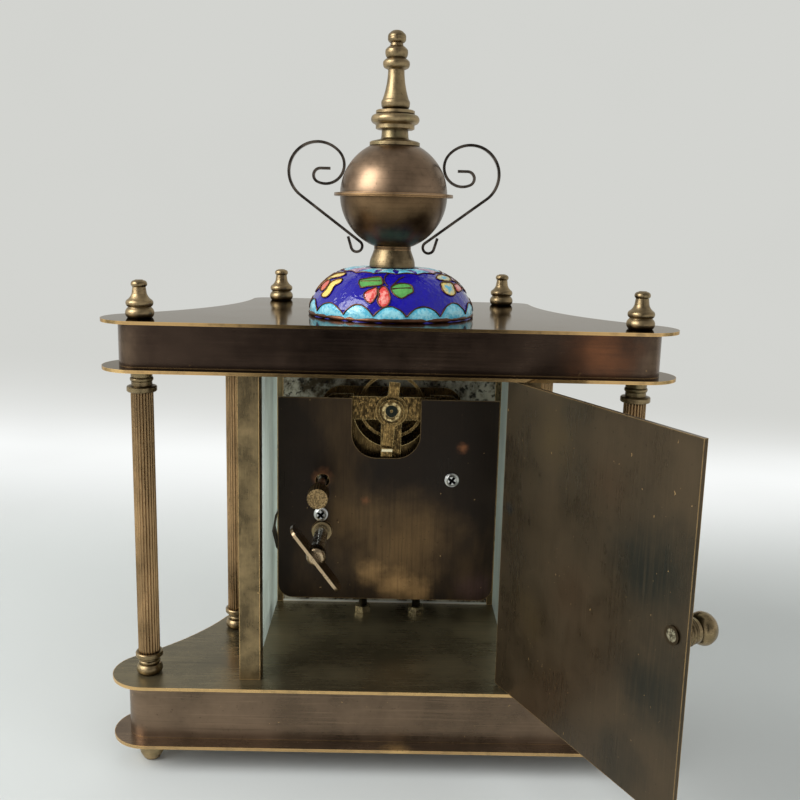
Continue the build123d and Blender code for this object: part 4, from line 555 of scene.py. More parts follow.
def glass_finish(name, tint, edge_tone, film, face="X", index=1.45):
    """Clear pane that looks along face, with a film that thickens at a slant and pale cut edges."""
    coat = Finish(name, 0.0, 0.03)
    coat.set("IOR", index)
    coat.set("Base Color", tint)
    clear = coat.add("ShaderNodeBsdfTransparent", {"Color": (0.965, 0.985, 0.97)})
    gloss = coat.add("ShaderNodeBsdfGlossy", {"Color": (0.9, 0.93, 0.9), "Roughness": 0.04})
    front_dust = coat.add("ShaderNodeBsdfDiffuse", {"Color": tint})
    back_dust = coat.add("ShaderNodeBsdfTranslucent", {"Color": tint})
    fresnel = coat.add("ShaderNodeFresnel", {"IOR": index}).outputs[0]
    outer = coat.sum("SUBTRACT", 1.0, coat.add("ShaderNodeNewGeometry").outputs["Backfacing"])
    shine = coat.blend(coat.product(fresnel, coat.product(outer, 0.4)), clear, gloss)
    slant = coat.add("ShaderNodeLayerWeight", {"Blend": 0.5}).outputs["Facing"]
    veil = coat.span(coat.noise(0.02, (1, 1, 3), 5), 0.3, 0.8, film * 0.6, film)
    thick = coat.product(coat.span(slant, 0.55, 1.0, 0.1, 1.0), veil)
    dusty = coat.blend(thick, shine, coat.blend(0.6, front_dust, back_dust))
    cut = coat.add("ShaderNodeBsdfDiffuse", {"Color": edge_tone})
    turned_away = coat.sum("ABSOLUTE", coat.facing(face))
    return coat.end_in(coat.blend(coat.span(turned_away, 0.7, 0.4, 0.0, 0.85), dusty, cut))


def paint(material, *nodes):
    """Gives nodes of the clock this material in every slot."""
    for node in nodes:
        slots = NODES[node].material_slots
        if not slots:
            NODES[node].data.materials.append(material)
        for slot in slots:
            slot.material = material


def put(name, data):
    """Puts a mesh, curve, text, lamp or camera in the scene."""
    thing = bpy.data.objects.new(name, data)
    bpy.context.scene.collection.objects.link(thing)
    return thing


def mesh_of(name, verts, faces):
    """A mesh of these verts and faces."""
    mesh = bpy.data.meshes.new(name)
    mesh.from_pydata([tuple(v) for v in verts], [], faces)
    return mesh


def new_piece(name, verts, faces, material, body, smooth=True):
    """A mesh piece that rides on a body."""
    mesh = mesh_of(name, verts, faces)
    mesh.validate()
    for polygon in mesh.polygons:
        polygon.use_smooth = smooth
    piece = put(name, mesh)
    mesh.materials.append(material)
    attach(piece, body)
    return piece


def look_outward(mesh, middle=None):
    """Turns the faces of a mesh outward, and away from its middle where that is given."""
    bm = bmesh.new()
    bm.from_mesh(mesh)
    bmesh.ops.recalc_face_normals(bm, faces=bm.faces)
    if middle and sum((f.normal.dot(f.calc_center_median() - middle) for f in bm.faces), 0.0) < 0:
        bmesh.ops.reverse_faces(bm, faces=bm.faces)
    bm.to_mesh(mesh)
    bm.free()


def join_parts(parts):
    """Several lists of verts and faces as one."""
    verts, faces = [], []
    for more_verts, more_faces in parts:
        start = len(verts)
        verts += more_verts
        faces += [[i + start for i in face] for face in more_faces]
    return verts, faces


def smooth_loop(points, steps=4):
    """A closed loop rounded through its points."""
    count = len(points)
    loop = []
    for i in range(count):
        a, b, c, d = (Vector(points[(i + k - 1) % count]) for k in range(4))
        for step in range(steps):
            t = step / steps
            square, cube = (2 * a - 5 * b + 4 * c - d) * t**2, (3 * b - 3 * c + d - a) * t**3
            loop.append(tuple(0.5 * (2 * b + (c - a) * t + square + cube)))
    return loop


def middle_of(node):
    """The middle of a node's box."""
    low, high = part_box(node)
    return (low + high) / 2


class DomeSurface:
    """The dome's own outside, addressed by an angle round it and a climb up from its rim."""

    SLOPE_STEP = 0.4 * MM
    CROWN_SHARES = (0.8, 0.6, 0.4)

    def __init__(self):
        self.centre = middle_of("dome")
        by_height = {}
        for vertex in NODES["dome"].data.vertices:
            reach = math.hypot(vertex.co.x - self.centre.x, vertex.co.y - self.centre.y)
            key = round(vertex.co.z, 5)
            by_height[key] = max(by_height.get(key, 0.0), reach)
        outline = sorted(by_height.items())
        kept = [p for i, p in enumerate(outline) if p[1] >= max(q[1] for q in outline[i:]) - 1e-7]
        top_height, top_reach = kept[-1]
        kept += [(top_height, top_reach * k) for k in self.CROWN_SHARES]
        self.line = [(0.0, kept[0][1], kept[0][0])]
        for (z0, r0), (z1, r1) in zip(kept, kept[1:]):
            climb = self.line[-1][0] + math.hypot(z1 - z0, r1 - r0)
            self.line.append((climb, r1, z1))

    def reach_and_height(self, climb):
        """How far the dome stands out, and how high, at a climb up from its rim."""
        for (s0, r0, z0), (s1, r1, z1) in zip(self.line, self.line[1:]):
            if climb <= s1:
                t = max(0.0, (climb - s0) / (s1 - s0))
                return r0 + (r1 - r0) * t, z0 + (z1 - z0) * t
        return self.line[-1][1:]

    def point(self, degrees, climb, proud=0.0):
        """A point on the dome, raised off it by proud."""
        reach, height = self.reach_and_height(climb)
        above = self.reach_and_height(climb + self.SLOPE_STEP)
        below = self.reach_and_height(max(0.0, climb - self.SLOPE_STEP))
        slope = Vector((above[0] - below[0], above[1] - below[1])).normalized()
        reach += slope.y * proud
        height += -slope.x * proud
        turn = math.radians(degrees)
        x, y = self.centre.x - reach * math.sin(turn), self.centre.y + reach * math.cos(turn)
        return Vector((x, y, height))


def raised_cell(surface, outline, lift, rings=5):
    """An enamel cell that swells up inside its outline of (degrees, climb) points."""
    middle = sum((Vector(p) for p in outline), Vector((0.0, 0.0))) / len(outline)
    verts, shares = [], []
    for ring in range(rings):
        part = ring / rings
        for p in outline:
            q = Vector(p).lerp(middle, part)
            verts.append(surface.point(q.x, q.y, lift * (0.15 + 0.85 * math.sqrt(part))))
            shares.append(part)
    verts.append(surface.point(middle.x, middle.y, lift * 1.05))
    shares.append(1.0)
    count = len(outline)
    last = (rings - 1) * count
    faces = []
    for low in range(0, last, count):
        for i in range(count):
            j = (i + 1) % count
            faces.append([low + i, low + j, low + count + j, low + count + i])
    faces += [[last + i, last + (i + 1) % count, len(verts) - 1] for i in range(count)]
    return verts, faces, shares


def enamel_cells(name, surface, outlines, lift, material):
    """Several cells of one colour as one piece."""
    cells = [raised_cell(surface, outline, lift) for outline in outlines]
    piece = new_piece(name, *join_parts([cell[:2] for cell in cells]), material, "case")
    look_outward(piece.data, surface.centre)
    attribute = piece.data.attributes.new("middle", "FLOAT", "POINT")
    attribute.data.foreach_set("value", [part for cell in cells for part in cell[2]])


def copper_wires(name, lines, radius, material, seed):
    """Wires on the dome that follow lines of points, a little uneven in thickness."""
    chance = random.Random(seed)
    curve = bpy.data.curves.new(name, "CURVE")
    curve.dimensions = "3D"
    curve.bevel_depth = radius
    curve.bevel_resolution = 2
    curve.use_fill_caps = True
    for points, closed in lines:
        spline = curve.splines.new("POLY")
        spline.points.add(len(points) - 1)
        for place, point in zip(spline.points, points):
            place.co = (*point, 1.0)
            place.radius = chance.uniform(0.75, 1.25)
        spline.use_cyclic_u = closed
    curve.materials.append(material)
    piece = put(name, curve)
    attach(piece, "case")


# outlines of the enamel cells and stems: degrees round the dome, and millimetres up from its rim
FLOWER_CELLS = {
    "green": (
        (
            (-28.2, 12.7), (-29.3, 14.3), (-23.8, 15.2), (-15.2, 16.2), (-10.5, 16.1), (-8.4, 14.6),
            (-7.6, 12.7), (-12.5, 12.0), (-19.2, 11.6), (-24.4, 11.1),
        ),
        (
            (-0.4, 11.6), (3.0, 12.8), (9.1, 13.4), (15.1, 12.9), (17.1, 11.2), (16.0, 9.8),
            (12.0, 8.8), (7.9, 7.7), (4.5, 8.1), (1.9, 9.1), (0.0, 10.2),
        ),
    ),
    "red": (
        (
            (-20.5, 8.7), (-19.0, 9.9), (-15.7, 10.8), (-12.2, 11.4), (-10.6, 10.3), (-10.7, 8.1),
            (-13.3, 6.1), (-15.8, 6.0), (-19.0, 7.3),
        ),
        (
            (-9.9, 10.3), (-7.6, 11.9), (-4.1, 11.5), (-1.6, 9.5), (-0.8, 7.3), (-2.1, 5.5),
            (-5.2, 4.7), (-7.9, 5.2), (-9.6, 6.9), (-8.7, 8.8),
        ),
        (
            (65.8, 12.2), (76.9, 12.1), (78.9, 10.2), (68.5, 9.4), (61.5, 9.4), (62.0, 10.7),
        ),
    ),
    "yellow": (
        (
            (-86.0, 8.0), (-87.0, 10.5), (-84.0, 13.0), (-79.0, 15.2), (-71.5, 16.8), (-59.0, 17.4),
            (-54.0, 16.4), (-58.0, 14.8), (-66.0, 13.8), (-73.5, 13.4), (-78.0, 11.4), (-78.0, 9.0),
            (-81.0, 7.6),
        ),
        (
            (-61.0, 6.7), (-56.5, 6.4), (-52.1, 7.1), (-51.0, 9.1), (-51.5, 10.9), (-47.6, 12.4),
            (-49.8, 14.0), (-55.0, 13.9), (-61.5, 12.4), (-61.0, 10.6), (-60.3, 8.7), (-62.1, 7.6),
        ),
    ),
    "orange": (
        (
            (-71.3, 8.7), (-75.8, 10.3), (-72.5, 12.7), (-65.5, 12.4), (-62.6, 11.0), (-62.6, 9.5),
            (-65.0, 8.4),
        ),
    ),
    "lime": (
        (
            (49.4, 16.2), (59.1, 17.5), (68.9, 17.2), (77.0, 16.0), (72.5, 14.4), (61.8, 13.8),
            (54.0, 14.3), (48.7, 15.0),
        ),
        (
            (47.7, 13.3), (57.0, 13.4), (64.3, 12.7), (60.0, 10.4), (57.5, 8.9), (51.0, 8.1),
            (44.8, 9.1), (43.8, 11.0),
        ),
        (
            (77.5, 12.8), (82.0, 13.8), (88.0, 12.0), (89.0, 9.6), (84.5, 8.8), (80.5, 10.4),
        ),
    ),
    "lilac": (
        (
            (71.0, 14.2), (78.0, 15.2), (84.0, 15.4), (82.0, 14.1), (76.0, 13.2),
        ),
    ),
}
STEMS = (
    ((-3.8, 18.6), (-6.6, 16.6), (-6.8, 14.1), (-3.0, 12.0)),
    ((12.4, 16.8), (6.6, 15.4), (3.1, 13.6), (-0.4, 11.9)),
    ((-28.0, 13.8), (-20.0, 13.9), (-10.0, 14.2)),
    ((0.5, 11.0), (8.0, 11.2), (15.5, 11.4)),
)
# degrees by which the scallops in sight stand off an even spacing, and where the first one starts
SCALLOP_SWAY = (-0.5, -0.8, 2.7, 0.4, -1.9, -1.5, 1.7, 2.0)
FIRST_SCALLOP = -84.0
# where the scallops stand and meet, and the top band in millimetres up and degrees round
RIM_CLIMB, SCALLOP_LOW = 0.6 * MM, 1.9 * MM
BAND_LOW, BAND_SWELL, BAND_TOP, BAND_START = 18.2, 0.9, 26.0, 5
RIM_WIRE_STEP = 4
DOME_SEED, WIRE_SEED, RIM_SEED = 7, 3, 5
SPINS = (0.0, 180.0)
BAND_WIRE = 0.8


class CLOCK_OT_enamel_dome(bpy.types.Operator):
    """Lays scallops, flowers, leaves and copper wires on the cobalt dome"""

    bl_idname = "clock.enamel_dome"
    bl_label = "Enamel dome"

    def execute(self, context):
        look = context.scene.enamel_dome
        surface = DomeSurface()
        paint(enamel("Cobalt_enamel", dim(look.cobalt, 0.8), look.cobalt, 0.5), "dome")
        finishes = {
            "scallop": enamel("Turquoise_enamel", look.turquoise, look.pale, 0.5),
            "pale": enamel("Pale_enamel", dim(look.pale, 0.9), dim(look.turquoise, 1.1), 0.6),
            "lilac": enamel("Lilac_enamel", look.lilac, dim(look.lilac, 0.8), 0.6),
            "green": enamel("Leaf_enamel", look.green, dim(look.green, 1.2), 0.5),
            "red": enamel("Red_enamel", look.red, look.pink, 0.7),
            "yellow": enamel("Yellow_enamel", look.yellow, dim(look.yellow, 1.1), 0.5),
            "orange": enamel("Orange_enamel", look.orange, look.red, 0.5),
            "lime": enamel("Lime_enamel", look.yellow, look.turquoise, 0.35),
        }
        copper = turned_finish("Copper_wire", look.wire, groove_shade=0.25, roughness=0.4, speck=0.6, green=0.1)
        chance = random.Random(DOME_SEED)
        cells = {key: [] for key in finishes}
        wires = []

        def lay_wire(line, closed, thickness=1.0):
            """A wire laid by hand along a line on the dome, a little off it here and there."""
            proud = look.wire_radius * thickness * 0.8
            points = []
            for a, s in line:
                a += chance.uniform(-0.25, 0.25)
                s += chance.uniform(-0.06, 0.06) * MM
                points.append(surface.point(a, s, proud))
            wires.append((points, closed))

        corners = []
        for k in range(look.scallops):
            sway = SCALLOP_SWAY[k] if k < len(SCALLOP_SWAY) else chance.uniform(-1.8, 1.8)
            corners.append(FIRST_SCALLOP + k * 360 / look.scallops + sway)
        for start, end in zip(corners, [*corners[1:], corners[0] + 360]):
            rise = look.scallop_rise * chance.uniform(0.93, 1.12) - SCALLOP_LOW
            swell = [math.sin(math.pi * t / 12) ** 0.8 for t in range(13)]
            arch = [(start + (end - start) * t / 12, SCALLOP_LOW + rise * swell[t]) for t in range(13)]
            foot = [(end - (end - start) * t / 5, RIM_CLIMB) for t in range(6)]
            cells["scallop"].append([*arch, *foot])
            lay_wire(arch, False)
        for spin in SPINS:
            for tone, outlines in FLOWER_CELLS.items():
                for outline in outlines:
                    loop = smooth_loop([(a + spin, s * MM) for a, s in outline])
                    cells[tone].append(loop)
                    lay_wire(loop, True)
            for stem in STEMS:
                lay_wire([(a + spin, s * MM) for a, s in stem], False)
        band = look.scallops
        for k in range(band):
            start, end = k * 360 / band + BAND_START, (k + 1) * 360 / band + BAND_START
            swell = [(BAND_LOW + BAND_SWELL * math.sin(math.pi * t / 8)) * MM for t in range(9)]
            arch = [(start + (end - start) * t / 8, swell[t]) for t in range(9)]
            inner = [(end - (end - start) * t / 4, BAND_TOP * MM) for t in range(5)]
            cells["lilac" if k % 5 == 2 else "pale"].append([*arch, *inner])
            lay_wire(arch, False, BAND_WIRE)
        for tone, outlines in cells.items():
            enamel_cells(f"dome_{tone}_cells", surface, outlines, look.cell_lift, finishes[tone])
        rim = [
            surface.point(a, look.rim_radius * 0.9, (chance.uniform(-0.05, 0.05) - 0.42) * MM)
            for a in range(0, 360, RIM_WIRE_STEP)
        ]
        copper_wires("dome_wires", wires, look.wire_radius, copper, WIRE_SEED)
        copper_wires("dome_rim_wire", [(rim, True)], look.rim_radius, copper, RIM_SEED)
        return {"FINISHED"}


class CLOCK_OT_case_finish(bpy.types.Operator):
    """Finishes the plates, skirts, columns, posts, feet and finials"""

    bl_idname = "clock.case_finish"
    bl_label = "Case metal"

    def execute(self, context):
        look = context.scene.clock_metals
        worn, stain, skirt, deck = look.worn_edge, look.copper_stain, look.skirt_patina, look.floor_patina
        along, level = (60, 1, 1), (60, 60, 1)
        plate = brushed_plate(
            "Patina_plate", look.plate_patina, worn, stain, along, 0.1, 0.1, 1.0,
            line_share=0.3, rim=0.8, slant_tone=(0.77, 0.72, 0.66),
        )
        paint(plate, "canopy_bottom_plate", "canopy_top_plate")
        low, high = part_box("base_bottom_plate")
        rubbed = ((0.055 * low.x, high.y, high.z), 6.5 * MM, dim(worn, 1.15), 0.9)
        foot_plate = brushed_plate(
            "Patina_foot_plate", skirt, worn, dim(skirt, 0.5), along, 0.22, 0.3, 0.8,
            marks=[rubbed], rim=0.65,
        )
        paint(foot_plate, "base_bottom_plate")
        olive_deck = brushed_plate(
            "Olive_deck", deck, worn, dim(deck, 0.45), along, 0.27, 0.5, 0.75, line_share=1.0, rim=0.85
        )
        paint(olive_deck, "base_top_plate")
        low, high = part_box("canopy_skirt")
        middle, near = (low.z + high.z) / 2, high.y - 4 * MM
        # painted reflection: both ends of the skirt are lighter, as where they reflect bright
        # surroundings; the third mark is a copper stain
        marks = [((x, near, middle), 13 * MM, dim(skirt, 1.15), 0.8) for x in (low.x, high.x)]
        marks.append(((0.76 * low.x, high.y, middle), 14 * MM, stain, 0.6))
        canopy = brushed_plate(
            "Canopy_skirt", look.canopy_patina, worn, stain, level, 0.2, 0.15, 0.9,
            line_share=0.3, marks=marks, wear=0.5,
        )
        paint(canopy, "canopy_skirt")
        base = brushed_plate(
            "Base_skirt", skirt, worn, dim(skirt, 0.55), level, 0.3, 0.4, 0.8, line_share=0.6, wear=0.4
        )
        paint(base, "base_skirt")
        post = brushed_plate(
            "Olive_post", look.post, dim(worn, 1.1), dim(look.post, 0.25), (1, 1, 12), 0.3, 0.85, 0.8,
            cloud_size=0.009, cloud=(0.45, 1.4),
        )
        paint(post, "rear_posts", "front_posts")
        paint(self.mottled_panel(look), "front_panel")
        paint(fluted_finish("Fluted_brass", look.column), "column_shafts")
        paint(turned_finish("Column_collars", dim(look.turned, 0.95)), "column_bases", "column_capitals")
        paint(turned_finish("Turned_brass", look.turned), "bezel")
        paint(turned_finish("Finial_brass", dim(look.turned, 1.1)), "corner_finials")
        # painted light: the feet take a lighter copy of the turned brass, to look lit where they stand in
        # shadow
        paint(turned_finish("Foot_brass_painted_light", dim(look.turned, 1.5), 0.4), "feet")
        return {"FINISHED"}

    def mottled_panel(self, look):
        """Spotted brass inside, near white along its foot, and brushed brass on the dial side."""
        coat = Finish("Mottled_panel", 0.45, 0.42)
        cloud = coat.noise(0.006, detail=6, roughness=0.7)
        coat.start(dim(look.post, 0.35), shade(196, 192, 172), cloud, 0.38, 0.6)
        spots = coat.noise(0.0022, shift=4.0)
        coat.lay(dim(look.cover, 0.6), spots, 0.52, 0.62, 0.9)
        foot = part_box("front_panel")[0].z
        coat.lay(shade(232, 232, 222), coat.part(coat.place, "Z"), foot + 1.1 * MM, foot + 0.6 * MM)
        inside = coat.body
        coat.start(dim(look.post, 0.5), dim(look.post, 1.25), coat.noise(0.02, shift=2.0))
        coat.lay(dim(look.post, 0.5), coat.noise(0.0006, (40, 1, 1), 3, shift=6.0), 0.5, 0.8, 0.6)
        outside = coat.span(coat.facing("Y"), 0.2, -0.2)
        coat.body = coat.mix(inside, coat.body, outside)
        coat.set("Metallic", coat.span(outside, 0.0, 1.0, 0.45, 0.85))
        # painted highlight and wear: bare brass along sharp edges
        coat.lay_by(look.worn_edge, coat.edges(0.4 * MM), 0.8)
        coat.bump(spots, -0.00003, 0.4)
        return coat.done(coat.span(cloud, 0.3, 0.7, 0.35, 0.55))


class CLOCK_OT_ornament_finish(bpy.types.Operator):
    """Finishes the pedestal, globe, neck, spire and scroll handles"""

    bl_idname = "clock.ornament_finish"
    bl_label = "Globe and spire metal"

    def execute(self, context):
        look = context.scene.clock_metals
        paint(satin_globe("Satin_globe_upper", look.globe), "globe_upper")
        # painted shade: the lower half takes a darker copy of the globe's bronze
        paint(satin_globe("Satin_globe_lower_painted_shade", look.globe_low, 0.36), "globe_lower")
        paint(turned_finish("Spire_brass", dim(look.turned, 0.97)), "globe_neck", "spire")
        paint(turned_finish("Collar_ring_brass", dim(look.turned, 1.2)), "spire_collar")
        paint(turned_finish("Pedestal_brass", dim(look.turned, 0.74), 0.8, 0.34, 0.75, 0.3), "pedestal")
        strip = clouded_finish(
            "Handle_strip", 1.0, 0.26, dim(look.strip, 0.6), dim(look.strip, 1.2), 0.005, 0.35, 0.65,
            uneven=(0.2, 0.36),
        )
        paint(strip, "scroll_handle_right", "scroll_handle_left")
        return {"FINISHED"}


class CLOCK_OT_glass(bpy.types.Operator):
    """Glazes the two sides and the dial"""

    bl_idname = "clock.glass"
    bl_label = "Glass"

    def execute(self, context):
        look = context.scene.clear_panes
        paint(glass_finish("Side_glass", look.tint, look.edge, look.film), "left_glass", "right_glass")
        paint(glass_finish("Dial_glass", look.tint, look.edge, look.film * 0.05, "Y"), "crystal")
        return {"FINISHED"}


# the collar's section, from the door outward: how far out, and radius, in millimetres
COLLAR_RINGS = (
    (0.05, 3.5), (0.05, 3.85), (0.2, 4.0), (0.8, 4.0), (1.0, 3.85), (1.1, 3.3), (1.4, 3.25), (1.55, 3.5),
    (1.8, 3.6), (2.05, 3.5), (2.2, 3.2), (2.5, 3.2), (2.65, 3.45), (2.9, 3.55), (3.15, 3.45), (3.3, 3.1),
    (3.6, 3.05), (3.75, 3.25), (3.95, 3.3), (4.15, 3.2), (4.25, 2.8), (4.25, 2.1), (3.4, 2.1),
    (2.3, 2.1), (1.2, 2.6), (1.2, 3.0), (0.9, 3.5),
)
COLLAR_SIDES = 48


class CLOCK_OT_door_finish(bpy.types.Operator):
    """Finishes the door and its knob"""

    bl_idname = "clock.door_finish"
    bl_label = "Door metal"

    def execute(self, context):
        look = context.scene.clock_metals
        low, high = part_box("door_panel")
        hinge, free = Vector((high.x, low.y, low.z)), Vector((low.x, high.y, low.z))

        def at(across, up):
            """A place on the open door, from its hinge to its free edge."""
            place = hinge.lerp(free, across)
            return (place.x, place.y, low.z + (high.z - low.z) * up)

        olive, brown, grey = shade(98, 82, 56), shade(92, 72, 52), shade(42, 44, 37)
        marks = [
            (at(0.3, 0.86), 13 * MM, olive, 0.75),
            (at(0.6, 0.8), 12 * MM, brown, 0.5),
            (at(0.22, 0.3), 12 * MM, olive, 0.7),
            (at(0.45, 0.45), 15 * MM, brown, 0.6),
            (at(0.82, 0.62), 24 * MM, grey, 1.0),
            (at(0.85, 0.34), 22 * MM, grey, 0.9),
            (at(0.75, 0.08), 14 * MM, grey, 0.6),
            (at(0.62, 0.68), 1.8 * MM, dim(look.door, 0.3), 0.6),
            (at(0.05, 0.6), 3 * MM, shade(60, 70, 74), 0.6),
        ]
        door = brushed_plate(
            "Door_patina", look.door, look.worn_edge, grey, (1, 1, 40), 0.3, 0.4, 0.8,
            cloud_size=0.02, cloud=(0.8, 1.15), line_share=0.28, nicks=0.7, wear=0.5, marks=marks,
        )
        paint(door, "door_panel")
        rivet, outward = self.rivet_and_way()
        knob = turned_finish(
            "Knob_brass", dim(look.turned, 0.95), roughness=0.24, rivet=(rivet, dim(look.door, 0.8))
        )
        paint(knob, "door_knob")
        self.knob_collar(look, rivet, outward)
        return {"FINISHED"}

    def knob_collar(self, look, rivet, outward):
        """Loose ringed collar round the knob's neck, between the door and the knob's head."""
        points = [vertex.co.dot(outward) for vertex in NODES["door_panel"].data.vertices]
        start = rivet + outward * (max(points) - rivet.dot(outward))
        aside = outward.cross(Vector((0, 0, 1))).normalized()
        upward = aside.cross(outward)
        verts, faces, rings = [], [], len(COLLAR_RINGS)
        for along, radius in COLLAR_RINGS:
            for k in range(COLLAR_SIDES):
                turn = 2 * math.pi * k / COLLAR_SIDES
                spoke = aside * math.cos(turn) + upward * math.sin(turn)
                verts.append(start + outward * along * MM + spoke * radius * MM)
        for i in range(rings):
            low, high = i * COLLAR_SIDES, (i + 1) % rings * COLLAR_SIDES
            for k in range(COLLAR_SIDES):
                after = (k + 1) % COLLAR_SIDES
                faces.append([low + k, high + k, high + after, low + after])
        metal = turned_finish("Collar_brass", dim(look.turned, 0.8), roughness=0.26)
        collar = new_piece("knob_collar", verts, faces, metal, "door")

    def rivet_and_way(self):
        """The middle of the rivet's end behind the door, and the way that the knob points."""
        face = max(NODES["door_panel"].data.polygons, key=lambda polygon: polygon.area)
        back = Vector((face.normal.x, face.normal.y, 0)).normalized()
        points = [vertex.co for vertex in NODES["door_knob"].data.vertices]
        if sum((point.dot(back) for point in points)) / len(points) > face.center.dot(back):
            back = -back
        last = max(point.dot(back) for point in points)
        end = [point for point in points if last - point.dot(back) < 0.3 * MM]
        return sum(end, Vector()) / len(end), -back


STUD_RADIUS, STUD_PITCH = 1.52 * MM, 0.5 * MM


class CLOCK_OT_movement_finish(bpy.types.Operator):
    """Finishes the movement, its cover, screws, springs, key and setting knob"""

    bl_idname = "clock.movement_finish"
    bl_label = "Movement metal"

    def execute(self, context):
        look = context.scene.clock_metals
        paint(self.cover_finish(look), "cover")
        finishes = {
            "movement_brass": grained_brass("Movement_brass", look.movement),
            "bright_steel": steel_finish("Bright_steel", look.steel),
            "spring_steel": steel_finish("Spring_steel", look.spring, 0.3, 0.4),
        }
        for node, piece in NODES.items():
            slots = piece.material_slots
            packed = slots[0].name.split(".")[0] if slots else ""
            if packed in finishes and not node.startswith("scroll"):
                paint(finishes[packed], node)
        staff = middle_of("balance_wheel")
        # painted highlight and shade: a bright ring and a near black disc about the balance staff on
        # bridge and regulator
        cup = (staff.x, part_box("balance_bridge")[1].y - 1.0 * MM, staff.z)
        bridge = grained_brass("Bridge_brass", dim(look.movement, 0.75), cup, stipple=0.8)
        paint(bridge, "balance_bridge")
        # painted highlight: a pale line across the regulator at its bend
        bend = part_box("regulator")[0].z + 3.4 * MM
        index = grained_brass(
            "Index_brass", dim(look.movement, 1.2), cup, stipple=0.5, bend_highlight_height=bend
        )
        paint(index, "regulator")
        plate = grained_brass("Rear_plate_brass", dim(look.movement, 0.45), edge_width=0.5 * MM)
        paint(plate, "rear_plate")
        low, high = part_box("mounting_nuts")
        half_flat = (high.y - low.y) * math.sqrt(3) / 4
        studs = [(x, (low.y + high.y) / 2) for x in (high.x - half_flat, low.x + half_flat)]
        threaded = threaded_finish(
            "Threaded_steel", shade(186, 172, 140), studs, STUD_RADIUS, STUD_PITCH
        )
        paint(threaded, "mounting_nuts")
        paint(steel_finish("Screw_steel", dim(look.steel, 1.1), 0.3, 0.55, 0.5), "cover_screws")
        paint(turned_finish("Bush_brass", dim(look.turned, 1.1), 0.7, 0.3, 0.6, 0.33), "winding_bush")
        # painted highlight: the second tone brightens the key's faces that look forward
        paint(blade_finish("Key_brass", shade(84, 68, 52), shade(196, 172, 138)), "winding_key")
        knurled = knurled_finish("Knurled_knob", shade(178, 150, 106), middle_of("setting_knob"))
        paint(knurled, "setting_knob")
        return {"FINISHED"}

    def cover_finish(self, look):
        """Dark cover with a golden reflection painted low down, copper spots and a rubbed window edge."""
        low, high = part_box("cover")
        sheen, stain = look.cover_painted_reflection, look.copper_stain
        # the first five spots are painted reflection in the golden tone; then a purple stain and three
        # copper stains
        spots = (
            (0.42, 0.28, 26, dim(sheen, 0.5), 0.55),
            (0.66, 0.42, 14, dim(sheen, 0.4), 0.35),
            (0.45, 0.08, 9, sheen, 0.75),
            (0.57, 0.13, 7, sheen, 0.55),
            (0.34, 0.04, 7, sheen, 0.6),
            (0.09, 0.06, 9, shade(92, 68, 66), 0.6),
            (0.16, 0.77, 2.6, stain, 0.8),
            (0.60, 0.50, 2.2, stain, 0.5),
            (0.794, 0.61, 4.6, stain, 0.75),
        )
        size = high - low
        marks = [
            ((low.x + size.x * across, high.y, low.z + size.z * up), radius * MM, tone, amount)
            for across, up, radius, tone, amount in spots
        ]
        return brushed_plate(
            "Cover_patina_and_painted_reflection", look.cover, look.worn_edge, dim(sheen, 0.4), (1, 1, 50), 0.34, 0.3, 0.7,
            cloud_size=0.03, cloud=(0.75, 1.2), line_share=0.4, wear=0.35, marks=marks,
        )


# type size for a numeral one unit high, spacing of its letters, and how far the ink stands off
TYPE_SIZE, LETTER_SPACING, NUMERAL_RELIEF, NUMERAL_LIFT = 1.35, 0.92, 0.03 * MM, 0.02 * MM
NUMERALS = ("XII", "I", "II", "III", "IIII", "V", "VI", "VII", "VIII", "IX", "X", "XI")
# half width and length of a minute mark, in millimetres
HOUR_MARK, MINUTE_MARK = (0.45, 1.3), (0.13, 0.8)
TRACK_WIDTH, LINE_HALF_WIDTH, INK_LIFT, TRACK_SIDES = 1.3 * MM, 0.07 * MM, 0.03 * MM, 180


